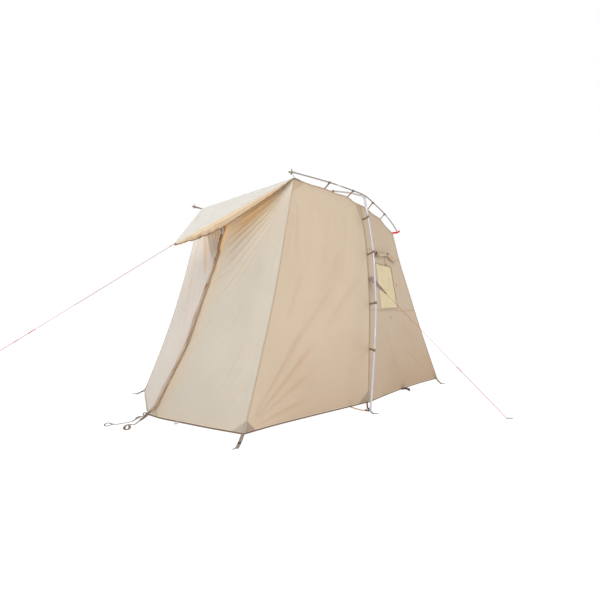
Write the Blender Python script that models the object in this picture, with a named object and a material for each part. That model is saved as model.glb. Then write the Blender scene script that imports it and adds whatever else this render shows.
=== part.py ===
"""Drive-away awning: a sand coloured tent on an outside pole frame, open at the back for a vehicle.

Metres, +Z up. In the drawing x is to the right seen from the door, y runs from the line of the
front corners to the rear, and z is the height above the sewn hem, which lies a little above the
ground. Everything hangs on one empty that moves the middle of the drawing onto the world origin
and its ground to z = 0.
"""
import math

import bmesh
import bpy
from mathutils import Vector

# Cloth and gaps
CLOTH = 0.004
MESH_CLOTH = 0.002
SEAM_GAP = 0.0002
REST_GAP = 0.00035

# Plan of the cloth at its lower edge
GROUND = -0.011
HEM_HEIGHT = GROUND + 0.0036
FRONT_HALF = 1.045
DOOR_REACH = 0.360
HOOP_HALF = 1.000
HOOP_SEAM_Y = 1.550
REAR_HALF = 0.738
REAR_Y = 3.212

# Corners of the roof
ROOF_FRONT_HALF = 0.887
ROOF_FRONT_Y = 0.642
ROOF_FRONT_Z = 2.149
ROOF_FRONT_SAG = 0.020
ROOF_FRONT_BOW = 0.045
ROOF_HOOP_HALF = 0.950
ROOF_HOOP_Y = 1.472
ROOF_HOOP_Z = 2.006
ROOF_CROWN_Z = 2.205
ROOF_REAR_HALF = 0.669
ROOF_REAR_Y = 2.355
ROOF_REAR_Z = 1.842
ROOF_REAR_CROWN_Z = 1.955
INNER_MIDDLE_Y = 1.45
INWARD_DROP = 0.6

# Door, canopy and windows
ZIP_HALF = 0.012
CANOPY_TIP_Y = -0.092
CANOPY_TIP_Z = 1.582
CANOPY_TIP_HALF = 0.016
VALANCE_SHARES = [0.06, 0.12, 0.178, 0.26, 0.348, 0.44, 0.53, 0.62, 0.70, 0.78, 0.85, 0.91, 0.965]
VALANCE_DROPS = [0.012, 0.028, 0.041, 0.052, 0.062, 0.075, 0.088, 0.093, 0.085, 0.076, 0.060, 0.042, 0.028]
WINDOW_BOTTOM = 0.487
WINDOW_TOP = 0.729
WINDOW_FRONT = 0.192
WINDOW_FRONT_SLOPE = -0.20
WINDOW_REAR = 0.579
WINDOW_REAR_SLOPE = -0.09
ROLL_RADIUS = 0.022
ROLL_HEIGHTS = [0.766, 0.776, 0.788, 0.791, 0.792, 0.794, 0.798]
ROLL_FRONT = 0.140
ROLL_REAR = 0.745

# Poles
HOOP_RADIUS = 0.009
SIDE_POLE_RADIUS = 0.0065
HUB_RADIUS = 0.013
HUB_BELOW = 0.115
HUB_ABOVE = 0.022
FOOT_HALF = 1.229
FOOT_Y = 1.293
CROSS_HALF = 1.0045
CROSS_Y = 1.456
CROSS_Z = 2.083
ARCH_Y = 1.458
ARCH_Z = 2.276
TIP_BAR_RADIUS = 0.005
TIP_BAR_HALF = 0.020

# Webbing, guy lines and pegs
WEB_THICK = 0.003
WEB_WIDTH = 0.020
TAIL_WIDTH = 0.009
CLIP_WIDTH = 0.016
TIP_STRAP_WIDTH = 0.009
REAR_STRAP_KNEE = 0.035
REAR_STRAP_TAIL = 0.040
TAPE_RADIUS = 0.0030
CORD_RADIUS = 0.0017
SLIDER_HALF = 0.028
SLIDER_WIDE = 0.006
SLIDER_TALL = 0.0028
PEG_RADIUS = 0.0035
PEG_RISE = 0.010
PEG_ARM = 0.036
PEG_BEND = 0.006
GUY_HEIGHT = 0.004
FRONT_GUY_Y = -2.484
FRONT_SLIDER = 1.41
SIDE_GUY_X = 2.177
SIDE_GUY_Y = 2.023
SIDE_GUY_START_Z = 1.271
SIDE_SLIDER = 1.21
SIDE_WEB_HALF = 0.030
SIDE_WEB_TIP = 0.009
SIDE_WEB_LENGTH = 0.22
SIDE_WEB_LIFT = 0.0028
LOOP_HALF = 0.005

# Middle of the drawing along y, which the empty moves onto the origin
MIDDLE_Y = 0.3409

# The share of a line that a tube's first and last step takes
END_STEP = 0.0002

# How finely the cloth is divided
WALL_ROWS = [
    0.0, 0.08, 0.16, 0.24, 0.32, 0.40, WINDOW_BOTTOM, 0.567, 0.648, WINDOW_TOP, 0.79, 0.86, 0.93, 1.0]
CANOPY_ROWS = [0, 0.12, 0.26, 0.40, 0.55, 0.70, 0.85, 1.0]
WALL_COLUMNS = 8
HALF_COLUMNS = 6
WINDOW_FIRST_ROW = WALL_ROWS.index(WINDOW_BOTTOM)
WINDOW_LAST_ROW = WALL_ROWS.index(WINDOW_TOP)
WINDOW_FIRST_COLUMN = 2
WINDOW_LAST_COLUMN = 6


def clear_scene():
    for item in list(bpy.data.objects):
        bpy.data.objects.remove(item, do_unlink=True)


def make_material(name, colour, roughness, metallic=0.0):
    material = bpy.data.materials.new(name)
    material.use_nodes = True
    shader = material.node_tree.nodes["Principled BSDF"]
    shader.inputs["Base Color"].default_value = (*colour, 1.0)
    shader.inputs["Roughness"].default_value = roughness
    shader.inputs["Metallic"].default_value = metallic
    return material


def add_object(name, data, material):
    data.materials.append(material)
    item = bpy.data.objects.new(name, data)
    bpy.context.collection.objects.link(item)
    item.parent = bpy.data.objects["awning"]
    return item


def finish_mesh(name, bm, material, smooth=True):
    bmesh.ops.recalc_face_normals(bm, faces=bm.faces[:])
    mesh = bpy.data.meshes.new(name)
    bm.to_mesh(mesh)
    bm.free()
    if smooth:
        mesh.shade_smooth()
        mesh.set_sharp_from_angle(angle=math.radians(35))
    return add_object(name, mesh, material)


# Lines and surfaces

def line_through(*points):
    """A smooth line through the points, read by the fraction of its length from 0 to 1."""
    points = [Vector(point) for point in points]
    knots = [0.0]
    for first, second in zip(points, points[1:]):
        knots.append(knots[-1] + (second - first).length)
    knots = [knot / knots[-1] for knot in knots]
    slopes = []
    for k in range(len(points)):
        before = max(k - 1, 0)
        after = min(k + 1, len(points) - 1)
        slopes.append((points[after] - points[before]) / (knots[after] - knots[before]))

    def read(t):
        k = 0
        while k < len(points) - 2 and t > knots[k + 1]:
            k += 1
        span = knots[k + 1] - knots[k]
        s = (t - knots[k]) / span
        start = points[k] * (2 * s**3 - 3 * s**2 + 1) + slopes[k] * span * (s**3 - 2 * s**2 + s)
        end = points[k + 1] * (3 * s**2 - 2 * s**3) + slopes[k + 1] * span * (s**3 - s**2)
        return start + end

    return read


def part_of(line, start, end):
    return lambda t: line(start + (end - start) * t)


def mirrored(line):
    def read(*place):
        point = line(*place)
        return Vector((-point.x, point.y, point.z))
    return read


def spanned(bottom, top, left, right):
    """The surface between four lines that meet at their ends."""
    def read(u, v):
        across = bottom(u) * (1 - v) + top(u) * v
        up = left(v) * (1 - u) + right(v) * u
        low = bottom(0) * (1 - u) + bottom(1) * u
        high = top(0) * (1 - u) + top(1) * u
        return across + up - (low * (1 - v) + high * v)
    return read


def inward(point):
    """The way the cloth's thickness runs, the same on both sides of every seam."""
    return Vector((-point.x, INNER_MIDDLE_Y - point.y, -INWARD_DROP * point.z**2)).normalized()


def outward_normal(surface, u, v):
    step = 0.002
    along = surface(min(u + step, 1), v) - surface(max(u - step, 0), v)
    up = surface(u, min(v + step, 1)) - surface(u, max(v - step, 0))
    normal = along.cross(up).normalized()
    if normal.dot(inward(surface(u, v))) > 0:
        normal.negate()
    return normal


front_hem = line_through(
    (0, -DOOR_REACH, HEM_HEIGHT), (0.20, -0.322, HEM_HEIGHT), (0.43, -0.241, HEM_HEIGHT),
    (0.74, -0.127, HEM_HEIGHT), (FRONT_HALF, 0, HEM_HEIGHT))
side_hem = line_through(
    (FRONT_HALF, 0, HEM_HEIGHT), (1.016, 0.33, HEM_HEIGHT), (1.006, 0.80, HEM_HEIGHT),
    (1.003, 1.25, HEM_HEIGHT), (HOOP_HALF, HOOP_SEAM_Y, HEM_HEIGHT))
rear_hem = line_through(
    (HOOP_HALF, HOOP_SEAM_Y, HEM_HEIGHT), (0.945, 1.785, HEM_HEIGHT), (0.844, 2.271, HEM_HEIGHT),
    (0.768, 2.789, HEM_HEIGHT), (REAR_HALF, REAR_Y, HEM_HEIGHT))
corner_seam = line_through(
    (FRONT_HALF, 0, HEM_HEIGHT), (0.985, 0.205, 0.55), (0.942, 0.382, 1.10), (0.913, 0.512, 1.60),
    (ROOF_FRONT_HALF, ROOF_FRONT_Y, ROOF_FRONT_Z))
hoop_seam = line_through(
    (HOOP_HALF, HOOP_SEAM_Y, HEM_HEIGHT), (1.028, 1.522, 0.26), (1.048, 1.503, 0.54), (1.054, 1.500, 0.99),
    (1.024, 1.496, 1.50), (0.972, 1.484, 1.86), (ROOF_HOOP_HALF, ROOF_HOOP_Y, ROOF_HOOP_Z))
rear_edge = line_through(
    (REAR_HALF, REAR_Y, HEM_HEIGHT), (0.692, 2.908, 0.65), (0.669, 2.635, 1.23), (0.664, 2.500, 1.51),
    (ROOF_REAR_HALF, ROOF_REAR_Y, ROOF_REAR_Z))
roof_front_half = line_through(
    (0, ROOF_FRONT_Y - ROOF_FRONT_BOW, ROOF_FRONT_Z - ROOF_FRONT_SAG),
    (0.44, ROOF_FRONT_Y - 0.75 * ROOF_FRONT_BOW, ROOF_FRONT_Z - 0.75 * ROOF_FRONT_SAG),
    (ROOF_FRONT_HALF, ROOF_FRONT_Y, ROOF_FRONT_Z))
roof_hoop_half = line_through(
    (0, 1.455, ROOF_CROWN_Z), (0.40, 1.457, 2.172), (0.72, 1.462, 2.100),
    (ROOF_HOOP_HALF, ROOF_HOOP_Y, ROOF_HOOP_Z))
roof_rear_half = line_through(
    (0, ROOF_REAR_Y + 0.055, ROOF_REAR_CROWN_Z), (0.36, ROOF_REAR_Y + 0.040, 1.928),
    (ROOF_REAR_HALF, ROOF_REAR_Y, ROOF_REAR_Z))
roof_side_front = line_through(
    (ROOF_FRONT_HALF, ROOF_FRONT_Y, ROOF_FRONT_Z), (0.922, 0.800, 2.112), (0.951, 0.962, 2.093),
    (0.961, 1.100, 2.068), (0.966, 1.256, 2.057), (0.960, 1.360, 2.022),
    (ROOF_HOOP_HALF, ROOF_HOOP_Y, ROOF_HOOP_Z))
roof_side_rear = line_through(
    (ROOF_HOOP_HALF, ROOF_HOOP_Y, ROOF_HOOP_Z), (0.936, 1.570, 1.995), (0.912, 1.690, 1.958),
    (0.867, 1.870, 1.929), (0.785, 2.090, 1.872), (ROOF_REAR_HALF, ROOF_REAR_Y, ROOF_REAR_Z))

ZIP_SHARE = ZIP_HALF / ROOF_FRONT_HALF
ZIP_HEM = front_hem(ZIP_HALF / FRONT_HALF)
ZIP_HEAD = roof_front_half(ZIP_SHARE)
zip_line = line_through(
    ZIP_HEM, (ZIP_HALF, -0.181, 0.22), (ZIP_HALF, 0.004, 0.61), (ZIP_HALF, 0.236, 1.16),
    (ZIP_HALF, 0.350, 1.46), (ZIP_HALF, 0.452, 1.76), ZIP_HEAD)

front_panel = spanned(
    part_of(front_hem, ZIP_HALF / FRONT_HALF, 1), part_of(roof_front_half, ZIP_SHARE, 1),
    zip_line, corner_seam)
front_wall = spanned(side_hem, roof_side_front, corner_seam, hoop_seam)
rear_wall = spanned(rear_hem, roof_side_rear, hoop_seam, rear_edge)


def across_roof(half):
    """A line over the roof from left, 0, to right, 1."""
    def read(u):
        share = 2 * u - 1
        point = half(abs(share))
        if share < 0:
            point.x = -point.x
        return point
    return read


def roof_surface(front_half, rear_half, side):
    return spanned(across_roof(front_half), across_roof(rear_half), mirrored(side), side)


front_roof = roof_surface(roof_front_half, roof_hoop_half, roof_side_front)
rear_roof = roof_surface(roof_hoop_half, roof_rear_half, roof_side_rear)


# Divisions of the surfaces, each a row of fractions for a height

def even_columns(count):
    return lambda v: [k / count for k in range(count + 1)]


def window_columns(v):
    front = WINDOW_FRONT + WINDOW_FRONT_SLOPE * (v - WINDOW_BOTTOM)
    rear = WINDOW_REAR + WINDOW_REAR_SLOPE * (v - WINDOW_BOTTOM)
    across = [front + (rear - front) * k / 4 for k in range(5)]
    return [0, front / 2] + across + [(rear + 1) / 2, 1]


def roof_columns(v):
    half = [ZIP_SHARE + (1 - ZIP_SHARE) * k / HALF_COLUMNS for k in range(HALF_COLUMNS + 1)]
    return [0.5 - share / 2 for share in reversed(half)] + [0.5 + share / 2 for share in half]


def grid_points(surface, columns, rows):
    return [[surface(u, v) for u in columns(v)] for v in rows]


def sewn_in(points, gap):
    """The same points with each border moved in by the gap."""
    rows = [[point.copy() for point in row] for row in points]
    for row in rows:
        row[0] += (row[1] - row[0]).normalized() * gap
        row[-1] += (row[-2] - row[-1]).normalized() * gap
    for k in range(len(rows[0])):
        rows[0][k] += (rows[1][k] - rows[0][k]).normalized() * gap
        rows[-1][k] += (rows[-2][k] - rows[-1][k]).normalized() * gap
    return rows


def add_cloth(name, points, material, gap=SEAM_GAP, hole=None, outer=0.0, inner=CLOTH, way=inward):
    """A closed sheet over a grid of points, from the outer depth to the inner one."""
    points = sewn_in(points, gap)
    last_row = len(points) - 1
    last_column = len(points[0]) - 1
    bm = bmesh.new()
    bmesh.ops.create_grid(bm, x_segments=last_column, y_segments=last_row, size=0.5)
    places = {vert: (round((vert.co.x + 0.5) * last_column), round((vert.co.y + 0.5) * last_row))
              for vert in bm.verts}
    if hole:
        inside = [face for face in bm.faces if in_hole(face, places, hole)]
        bmesh.ops.delete(bm, geom=inside, context="FACES")
    for vert in bm.verts:
        column, row = places[vert]
        vert.co = points[row][column]
    made = bmesh.ops.extrude_face_region(bm, geom=bm.faces[:], use_keep_orig=True)
    back = [item for item in made["geom"] if isinstance(item, bmesh.types.BMVert)]
    front = [vert for vert in bm.verts if vert not in set(back)]
    for vert in back:
        vert.co += way(vert.co) * inner
    for vert in front:
        vert.co += way(vert.co) * outer
    return finish_mesh(name, bm, material)


def in_hole(face, places, hole):
    first_column, last_column, first_row, last_row = hole
    columns = [places[vert][0] for vert in face.verts]
    rows = [places[vert][1] for vert in face.verts]
    return (min(columns) >= first_column and max(columns) <= last_column
            and min(rows) >= first_row and max(rows) <= last_row)


def both_sides(points):
    """The grid for the right side, and the same grid mirrored for the left."""
    left = [[Vector((-point.x, point.y, point.z)) for point in row] for row in points]
    return (("right", points), ("left", left))


# Solids along a line

def sweep(name, rings, material):
    """A closed solid through rings of corners, made by drawing out its end face ring by ring."""
    bm = bmesh.new()
    first = bm.faces.new([bm.verts.new(corner) for corner in rings[0]])
    end = first
    for before, after in zip(rings, rings[1:]):
        made = bmesh.ops.extrude_face_region(bm, geom=[end], use_keep_orig=True)
        if end is not first:
            bmesh.ops.delete(bm, geom=[end], context="FACES_ONLY")
        end = next(item for item in made["geom"] if isinstance(item, bmesh.types.BMFace))
        for vert in end.verts:
            nearest = min(range(len(before)), key=lambda k: (before[k] - vert.co).length_squared)
            vert.co = after[nearest]
    return finish_mesh(name, bm, material)


def flat_ring(centre, along, upward, width, thick):
    side = along.cross(upward).normalized() * width / 2
    top = side.cross(along).normalized() * thick / 2
    return [centre - side - top, centre + side - top, centre + side + top, centre - side + top]


def round_ring(centre, along, upward, wide, tall, corners=8):
    side = along.cross(upward).normalized()
    top = side.cross(along).normalized()
    ring = []
    for k in range(corners):
        angle = 2 * math.pi * (k + 0.5) / corners
        ring.append(centre + side * wide * math.cos(angle) + top * tall * math.sin(angle))
    return ring


def add_tube(name, points, radius, material):
    curve = bpy.data.curves.new(name, "CURVE")
    curve.dimensions = "3D"
    curve.bevel_depth = radius
    curve.bevel_resolution = 2
    curve.use_fill_caps = True
    spline = curve.splines.new("POLY")
    spline.points.add(len(points) - 1)
    for target, point in zip(spline.points, points):
        target.co = (*point, 1.0)
    spline.use_smooth = True
    return add_object(name, curve, material)


def spaced(line, start, end, count):
    """Points along part of a line, with a short first and last step that fix the end faces."""
    shares = [start, start + END_STEP]
    shares += [start + (end - start) * k / count for k in range(1, count)]
    shares += [end - END_STEP, end]
    return [line(share) for share in shares]


# The tent's cloth

def add_panels(materials):
    cloth = materials["cloth"]
    front_columns = even_columns(HALF_COLUMNS)
    front = grid_points(front_panel, front_columns, WALL_ROWS)
    for side, points in both_sides(front):
        add_cloth("front_panel_" + side, points, cloth)
    strip = [[Vector((-ZIP_HALF, row[0].y, row[0].z)), row[0]] for row in front]
    add_cloth("door_zip", strip, materials["zip"])
    walls = grid_points(front_wall, even_columns(WALL_COLUMNS), WALL_ROWS)
    for side, points in both_sides(walls):
        add_cloth("side_wall_" + side + "_front", points, cloth)
    add_rear_walls(materials)
    roof_rows = even_columns(WALL_COLUMNS)(0)
    add_cloth("roof_front", grid_points(front_roof, roof_columns, roof_rows), cloth)
    add_cloth("roof_rear", grid_points(rear_roof, roof_columns, window_columns(1.0)), cloth)


def add_rear_walls(materials):
    hole = (WINDOW_FIRST_COLUMN, WINDOW_LAST_COLUMN, WINDOW_FIRST_ROW, WINDOW_LAST_ROW)
    walls = grid_points(rear_wall, window_columns, WALL_ROWS)
    for side, points in both_sides(walls):
        add_cloth("side_wall_" + side + "_rear", points, materials["cloth"], hole=hole)
        window = [row[WINDOW_FIRST_COLUMN:WINDOW_LAST_COLUMN + 1]
                  for row in points[WINDOW_FIRST_ROW:WINDOW_LAST_ROW + 1]]
        add_cloth("window_" + side, window, materials["mesh"], gap=REST_GAP,
                  outer=CLOTH / 2 - MESH_CLOTH / 2, inner=CLOTH / 2 + MESH_CLOTH / 2)


def add_window_rolls(materials):
    surface = rear_wall
    path = []
    for k, height in enumerate(ROLL_HEIGHTS):
        u = ROLL_FRONT + (ROLL_REAR - ROLL_FRONT) * k / (len(ROLL_HEIGHTS) - 1)
        outward = outward_normal(surface, u, height)
        path.append(surface(u, height) + outward * (ROLL_RADIUS + REST_GAP))
    for side, sign in (("right", 1), ("left", -1)):
        points = [Vector((sign * point.x, point.y, point.z)) for point in path]
        add_tube("window_roll_" + side, points, ROLL_RADIUS, materials["cloth"])


# The canopy over the door and its hanging side strips

ROOF_EDGE_UP = Vector((0, -0.61, 0.79)).normalized()


def canopy_edge(t):
    """The right sloping edge from the roof corner to the tip, on the canopy's under face."""
    start = roof_front_half(1) + ROOF_EDGE_UP * REST_GAP
    tip = Vector((CANOPY_TIP_HALF, CANOPY_TIP_Y, CANOPY_TIP_Z))
    return start * (1 - t) + tip * t


def canopy_back(u):
    return across_roof(roof_front_half)(u) + ROOF_EDGE_UP * REST_GAP


def canopy_front(u):
    tip = canopy_edge(1)
    return Vector((tip.x * (2 * u - 1), tip.y, tip.z))


def add_canopy(materials):
    surface = spanned(canopy_back, canopy_front, mirrored(canopy_edge), canopy_edge)
    points = grid_points(surface, roof_columns, CANOPY_ROWS)
    add_cloth("canopy", points, materials["cloth"], inner=CLOTH, way=lambda point: ROOF_EDGE_UP)
    for side, points in both_sides(valance_points()):
        add_cloth("canopy_valance_" + side, points, materials["cloth"], inner=CLOTH,
                  way=lambda point: inward(Vector((point.x, point.y, 0))))


def valance_points():
    """A strip that hangs from the sloping edge, deepest past its middle."""
    top = []
    bottom = []
    for share, drop in zip(VALANCE_SHARES, VALANCE_DROPS):
        edge = canopy_edge(share) - Vector((0, 0, 2 * REST_GAP))
        top.append(edge)
        bottom.append(edge - Vector((0, 0, drop)))
    return [bottom, [low.lerp(high, 0.5) for low, high in zip(bottom, top)], top]


# The pole frame

hoop_half = line_through(
    (FOOT_HALF, FOOT_Y, GROUND), (1.241, 1.298, 0.15), (1.249, 1.304, 0.31),
    (1.256, 1.322, 0.62), (1.247, 1.350, 1.00), (1.222, 1.366, 1.25), (1.186, 1.387, 1.50),
    (1.148, 1.398, 1.66), (1.094, 1.415, 1.87), (1.050, 1.434, 1.99), (CROSS_HALF, CROSS_Y, CROSS_Z),
    (0.925, ARCH_Y, 2.116), (0.817, ARCH_Y, 2.156), (0.555, ARCH_Y, 2.223), (0.285, ARCH_Y, 2.262),
    (0, ARCH_Y, ARCH_Z))
side_pole = line_through(
    (0.944, 0.574, 2.178), (1.010, 0.966, 2.141), (1.036, 1.210, 2.111), (1.0365, 1.430, 2.0845),
    (0.996, 1.616, 2.043), (0.918, 1.907, 1.970), (0.796, 2.210, 1.903), (0.665, 2.466, 1.857))


def line_length(line):
    steps = 400
    return sum((line(k / steps) - line((k + 1) / steps)).length for k in range(steps))


def share_at(line, test):
    """The fraction along a line where the test first holds, halved down to a hair."""
    low, high = 0.0, 1.0
    for _ in range(40):
        middle = (low + high) / 2
        if test(line(middle)):
            high = middle
        else:
            low = middle
    return high


def add_poles(materials):
    metal = materials["pole"]
    length = line_length(hoop_half)
    cross = share_at(hoop_half, lambda point: point.z > CROSS_Z)
    leg_end = cross - HUB_BELOW / length
    arch_start = cross + HUB_ABOVE / length
    gap = REST_GAP / length
    leg = spaced(hoop_half, 0.0, leg_end - gap, 32)
    leg[0] = Vector((FOOT_HALF, FOOT_Y, GROUND))
    leg[1] = Vector((FOOT_HALF, FOOT_Y, GROUND + 0.004))
    hub = spaced(hoop_half, leg_end, arch_start - gap, 7)
    slim = spaced(side_pole, 0.0, 1.0, 26)
    for side, sign in (("right", 1), ("left", -1)):
        add_tube("hoop_leg_" + side, flipped(leg, sign), HOOP_RADIUS, metal)
        add_tube("pole_hub_" + side, flipped(hub, sign), HUB_RADIUS, materials["hub"])
        add_tube("side_pole_" + side, flipped(slim, sign), SIDE_POLE_RADIUS, metal)
    half = spaced(hoop_half, arch_start, 1.0, 18)[:-2]
    arch = half + [hoop_half(1.0)] + flipped(reversed(half), -1)
    add_tube("roof_arch", arch, HOOP_RADIUS, metal)


def flipped(points, sign):
    return [Vector((sign * point.x, point.y, point.z)) for point in points]


def add_pole_tips(materials):
    """A short cross bar on the front end of each side pole, leaning outward at its top."""
    end = side_pole(0)
    along = (side_pole(0.01) - end).normalized()
    centre = end - along * (TIP_BAR_RADIUS + REST_GAP)
    lean = Vector((0.44, 0, 0.90))
    across = (lean - along * lean.dot(along)).normalized()
    rod = [centre - across * TIP_BAR_HALF, centre + across * TIP_BAR_HALF]
    for side, sign in (("right", 1), ("left", -1)):
        add_tube("pole_tip_" + side, flipped(rod, sign), TIP_BAR_RADIUS, materials["hub"])


# Seam tapes with the webbing that ties the cloth to the poles

def add_strapped_tape(name, centres, strap_ends, material):
    """A tape along the centres. Each strap end is the number of a piece of the tape, with the
    corners that its outer face is drawn out to."""
    rings = []
    for k, (centre, upward) in enumerate(centres):
        before = centres[max(k - 1, 0)][0]
        after = centres[min(k + 1, len(centres) - 1)][0]
        along = (after - before).normalized()
        rings.append(flat_ring(centre, along, upward, 2 * TAPE_RADIUS, 2 * TAPE_RADIUS))
    tape = sweep(name, rings, material)
    bm = bmesh.new()
    bm.from_mesh(tape.data)
    for piece, ring in strap_ends:
        middle = (centres[piece][0] + centres[piece + 1][0]) / 2
        upward = (centres[piece][1] + centres[piece + 1][1]).normalized()
        goal = middle + upward * TAPE_RADIUS
        face = min(bm.faces, key=lambda item: (item.calc_center_median() - goal).length)
        made = bmesh.ops.extrude_face_region(bm, geom=[face], use_keep_orig=True)
        bmesh.ops.delete(bm, geom=[face], context="FACES_ONLY")
        end = next(item for item in made["geom"] if isinstance(item, bmesh.types.BMFace))
        pull_to(end, ring)
    bmesh.ops.recalc_face_normals(bm, faces=bm.faces[:])
    bm.to_mesh(tape.data)
    bm.free()
    return tape


def matched(ring, corners):
    """A ring's corners in the turn and order that lie nearest to other corners."""
    count = len(ring)
    orders = []
    for start in range(count):
        for step in (1, -1):
            orders.append([ring[(start + step * k) % count] for k in range(count)])
    return min(orders, key=lambda order: sum((a - b).length_squared for a, b in zip(order, corners)))


def pull_to(face, ring):
    corners = [vert.co.copy() for vert in face.verts]
    for vert, corner in zip(face.verts, matched(ring, corners)):
        vert.co = corner


def strap_end(start, pole, share, radius, width=CLIP_WIDTH):
    """The end of a strap that comes from the cloth and lies flat against a pole."""
    point = pole(share)
    along_pole = (pole(min(share + 0.002, 1)) - pole(max(share - 0.002, 0))).normalized()
    back = start - point
    back = (back - along_pole * back.dot(along_pole)).normalized()
    centre = point + back * (radius + REST_GAP)
    return flat_ring(centre, -back, along_pole.cross(-back), width, WEB_THICK)


def faceted(line, corners):
    """The line as the cloth has it, straight between the shares where the cloth has corners."""
    def read(t):
        k = 0
        while k < len(corners) - 2 and t > corners[k + 1]:
            k += 1
        part = (t - corners[k]) / (corners[k + 1] - corners[k])
        return line(corners[k]).lerp(line(corners[k + 1]), part)
    return read


def tape_shares(start, end, corners, straps, length):
    """The cloth's own corners, with a pair of close shares at each strap."""
    half = CLIP_WIDTH / 2 / length
    shares = [start] + [share for share in corners if start < share < end] + [end]
    shares = [share for share in shares if all(abs(share - strap) > 1.2 * half for strap in straps)]
    for strap in straps:
        shares += [strap - half, strap + half]
    return sorted(shares)


def tape_on(line, normal, shares):
    return [(line(share) + normal(share) * (TAPE_RADIUS + REST_GAP), normal(share)) for share in shares]


HOOP_CLIP_HEIGHTS = [0.026, 0.545, 1.000, 1.500, 1.862]


def hoop_seam_normal(t):
    return (outward_normal(front_wall, 1.0, t) + outward_normal(rear_wall, 0.0, t)).normalized()


def add_hoop_tapes(materials):
    length = line_length(hoop_seam)
    straps = [share_at(hoop_seam, lambda point: point.z > height) for height in HOOP_CLIP_HEIGHTS]
    shares = tape_shares(0.006, 0.985, WALL_ROWS, straps, length)
    centres = tape_on(faceted(hoop_seam, WALL_ROWS), hoop_seam_normal, shares)
    ends = []
    for strap, height in zip(straps, HOOP_CLIP_HEIGHTS):
        piece = max(k for k, share in enumerate(shares) if share < strap)
        start = (centres[piece][0] + centres[piece + 1][0]) / 2
        share = share_at(hoop_half, lambda point: point.z > height + 0.006)
        ends.append((piece, strap_end(start, hoop_half, share, HOOP_RADIUS)))
    add_tape_pair("hoop_clip_tape_", centres, ends, materials["webbing"])


def add_tape_pair(name, centres, ends, material):
    for side, sign in (("right", 1), ("left", -1)):
        own = [(flip(centre, sign), flip(upward, sign)) for centre, upward in centres]
        own_ends = [(piece, flipped(ring, sign)) for piece, ring in ends]
        add_strapped_tape(name + side, own, own_ends, material)


def flip(point, sign):
    return Vector((sign * point.x, point.y, point.z))


def roof_side(t):
    """The whole upper side edge from the front corner to the rear one."""
    if t < HOOP_SHARE:
        return roof_side_front(t / HOOP_SHARE)
    return roof_side_rear((t - HOOP_SHARE) / (1 - HOOP_SHARE))


def roof_side_normal(t):
    if t < HOOP_SHARE:
        wall, roof, share = front_wall, front_roof, t / HOOP_SHARE
    else:
        wall, roof, share = rear_wall, rear_roof, (t - HOOP_SHARE) / (1 - HOOP_SHARE)
    return (outward_normal(wall, share, 1.0) + outward_normal(roof, 1.0, share)).normalized()


HOOP_SHARE = 0.46
ROOF_SIDE_CORNERS = (
    [HOOP_SHARE * share for share in even_columns(WALL_COLUMNS)(0)[:-1]]
    + [HOOP_SHARE + (1 - HOOP_SHARE) * share for share in window_columns(1.0)])
SIDE_STRAP_YS = [0.962, 1.256, 1.600, 1.885]
ROOF_CORNER_SHARE = 0.012


def add_roof_tapes(materials):
    length = line_length(roof_side)
    straps = [share_at(roof_side, lambda point: point.y > y) for y in SIDE_STRAP_YS]
    corner = ROOF_CORNER_SHARE
    shares = tape_shares(0.004, 0.990, ROOF_SIDE_CORNERS, [corner] + straps, length)
    centres = tape_on(faceted(roof_side, ROOF_SIDE_CORNERS), roof_side_normal, shares)
    ends = []
    for strap, y in zip(straps, SIDE_STRAP_YS):
        piece = max(k for k, share in enumerate(shares) if share < strap)
        start = (centres[piece][0] + centres[piece + 1][0]) / 2
        share = share_at(side_pole, lambda point: point.y > y + 0.008)
        ends.append((piece, strap_end(start, side_pole, share, SIDE_POLE_RADIUS)))
    piece = max(k for k, share in enumerate(shares) if share < corner)
    start = (centres[piece][0] + centres[piece + 1][0]) / 2
    ends.append((piece, strap_end(start, side_pole, 0.006, SIDE_POLE_RADIUS, TIP_STRAP_WIDTH)))
    add_tape_pair("roof_strap_tape_", centres, ends, materials["webbing"])


ARCH_STRAPS = [0.207, 0.400, 0.600, 0.793]


def add_arch_tape(materials):
    over = across_roof(roof_hoop_half)
    length = line_length(over)

    def normal(t):
        return (outward_normal(front_roof, t, 1.0) + outward_normal(rear_roof, t, 0.0)).normalized()

    corners = roof_columns(0)
    shares = tape_shares(0.02, 0.98, corners, ARCH_STRAPS, length)
    centres = tape_on(faceted(over, corners), normal, shares)
    ends = []
    for strap in ARCH_STRAPS:
        piece = max(k for k, share in enumerate(shares) if share < strap)
        start = (centres[piece][0] + centres[piece + 1][0]) / 2
        share = share_at(hoop_half, lambda point: point.z > ROOF_HOOP_Z and point.x < abs(start.x))
        pole = hoop_half if start.x > 0 else mirrored(hoop_half)
        ends.append((piece, strap_end(start, pole, share, HOOP_RADIUS)))
    add_strapped_tape("roof_arch_tape", centres, ends, materials["webbing"])


def add_rear_straps(materials):
    """The red webbing from each rear roof corner, under the end of its pole and a little past it."""
    start = roof_side_rear(1.0) + Vector((0.004, REST_GAP + 0.004, 0))
    pole = side_pole(0.990)
    pole_way = (side_pole(1.0) - pole).normalized()
    way = (pole - start).normalized()
    under = pole_way.cross(way).normalized()
    if under.z > 0:
        under.negate()
    touch = pole + under * (SIDE_POLE_RADIUS + REST_GAP + WEB_THICK / 2)
    spots = (start, touch - way * REAR_STRAP_KNEE, touch + way * REAR_STRAP_TAIL)
    rings = [flat_ring(spot, way, under, CLIP_WIDTH, WEB_THICK) for spot in spots]
    for side, sign in (("right", 1), ("left", -1)):
        sweep("rear_strap_" + side, [flipped(ring, sign) for ring in rings], materials["red"])


# Ground straps, pegs and guy lines

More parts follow.
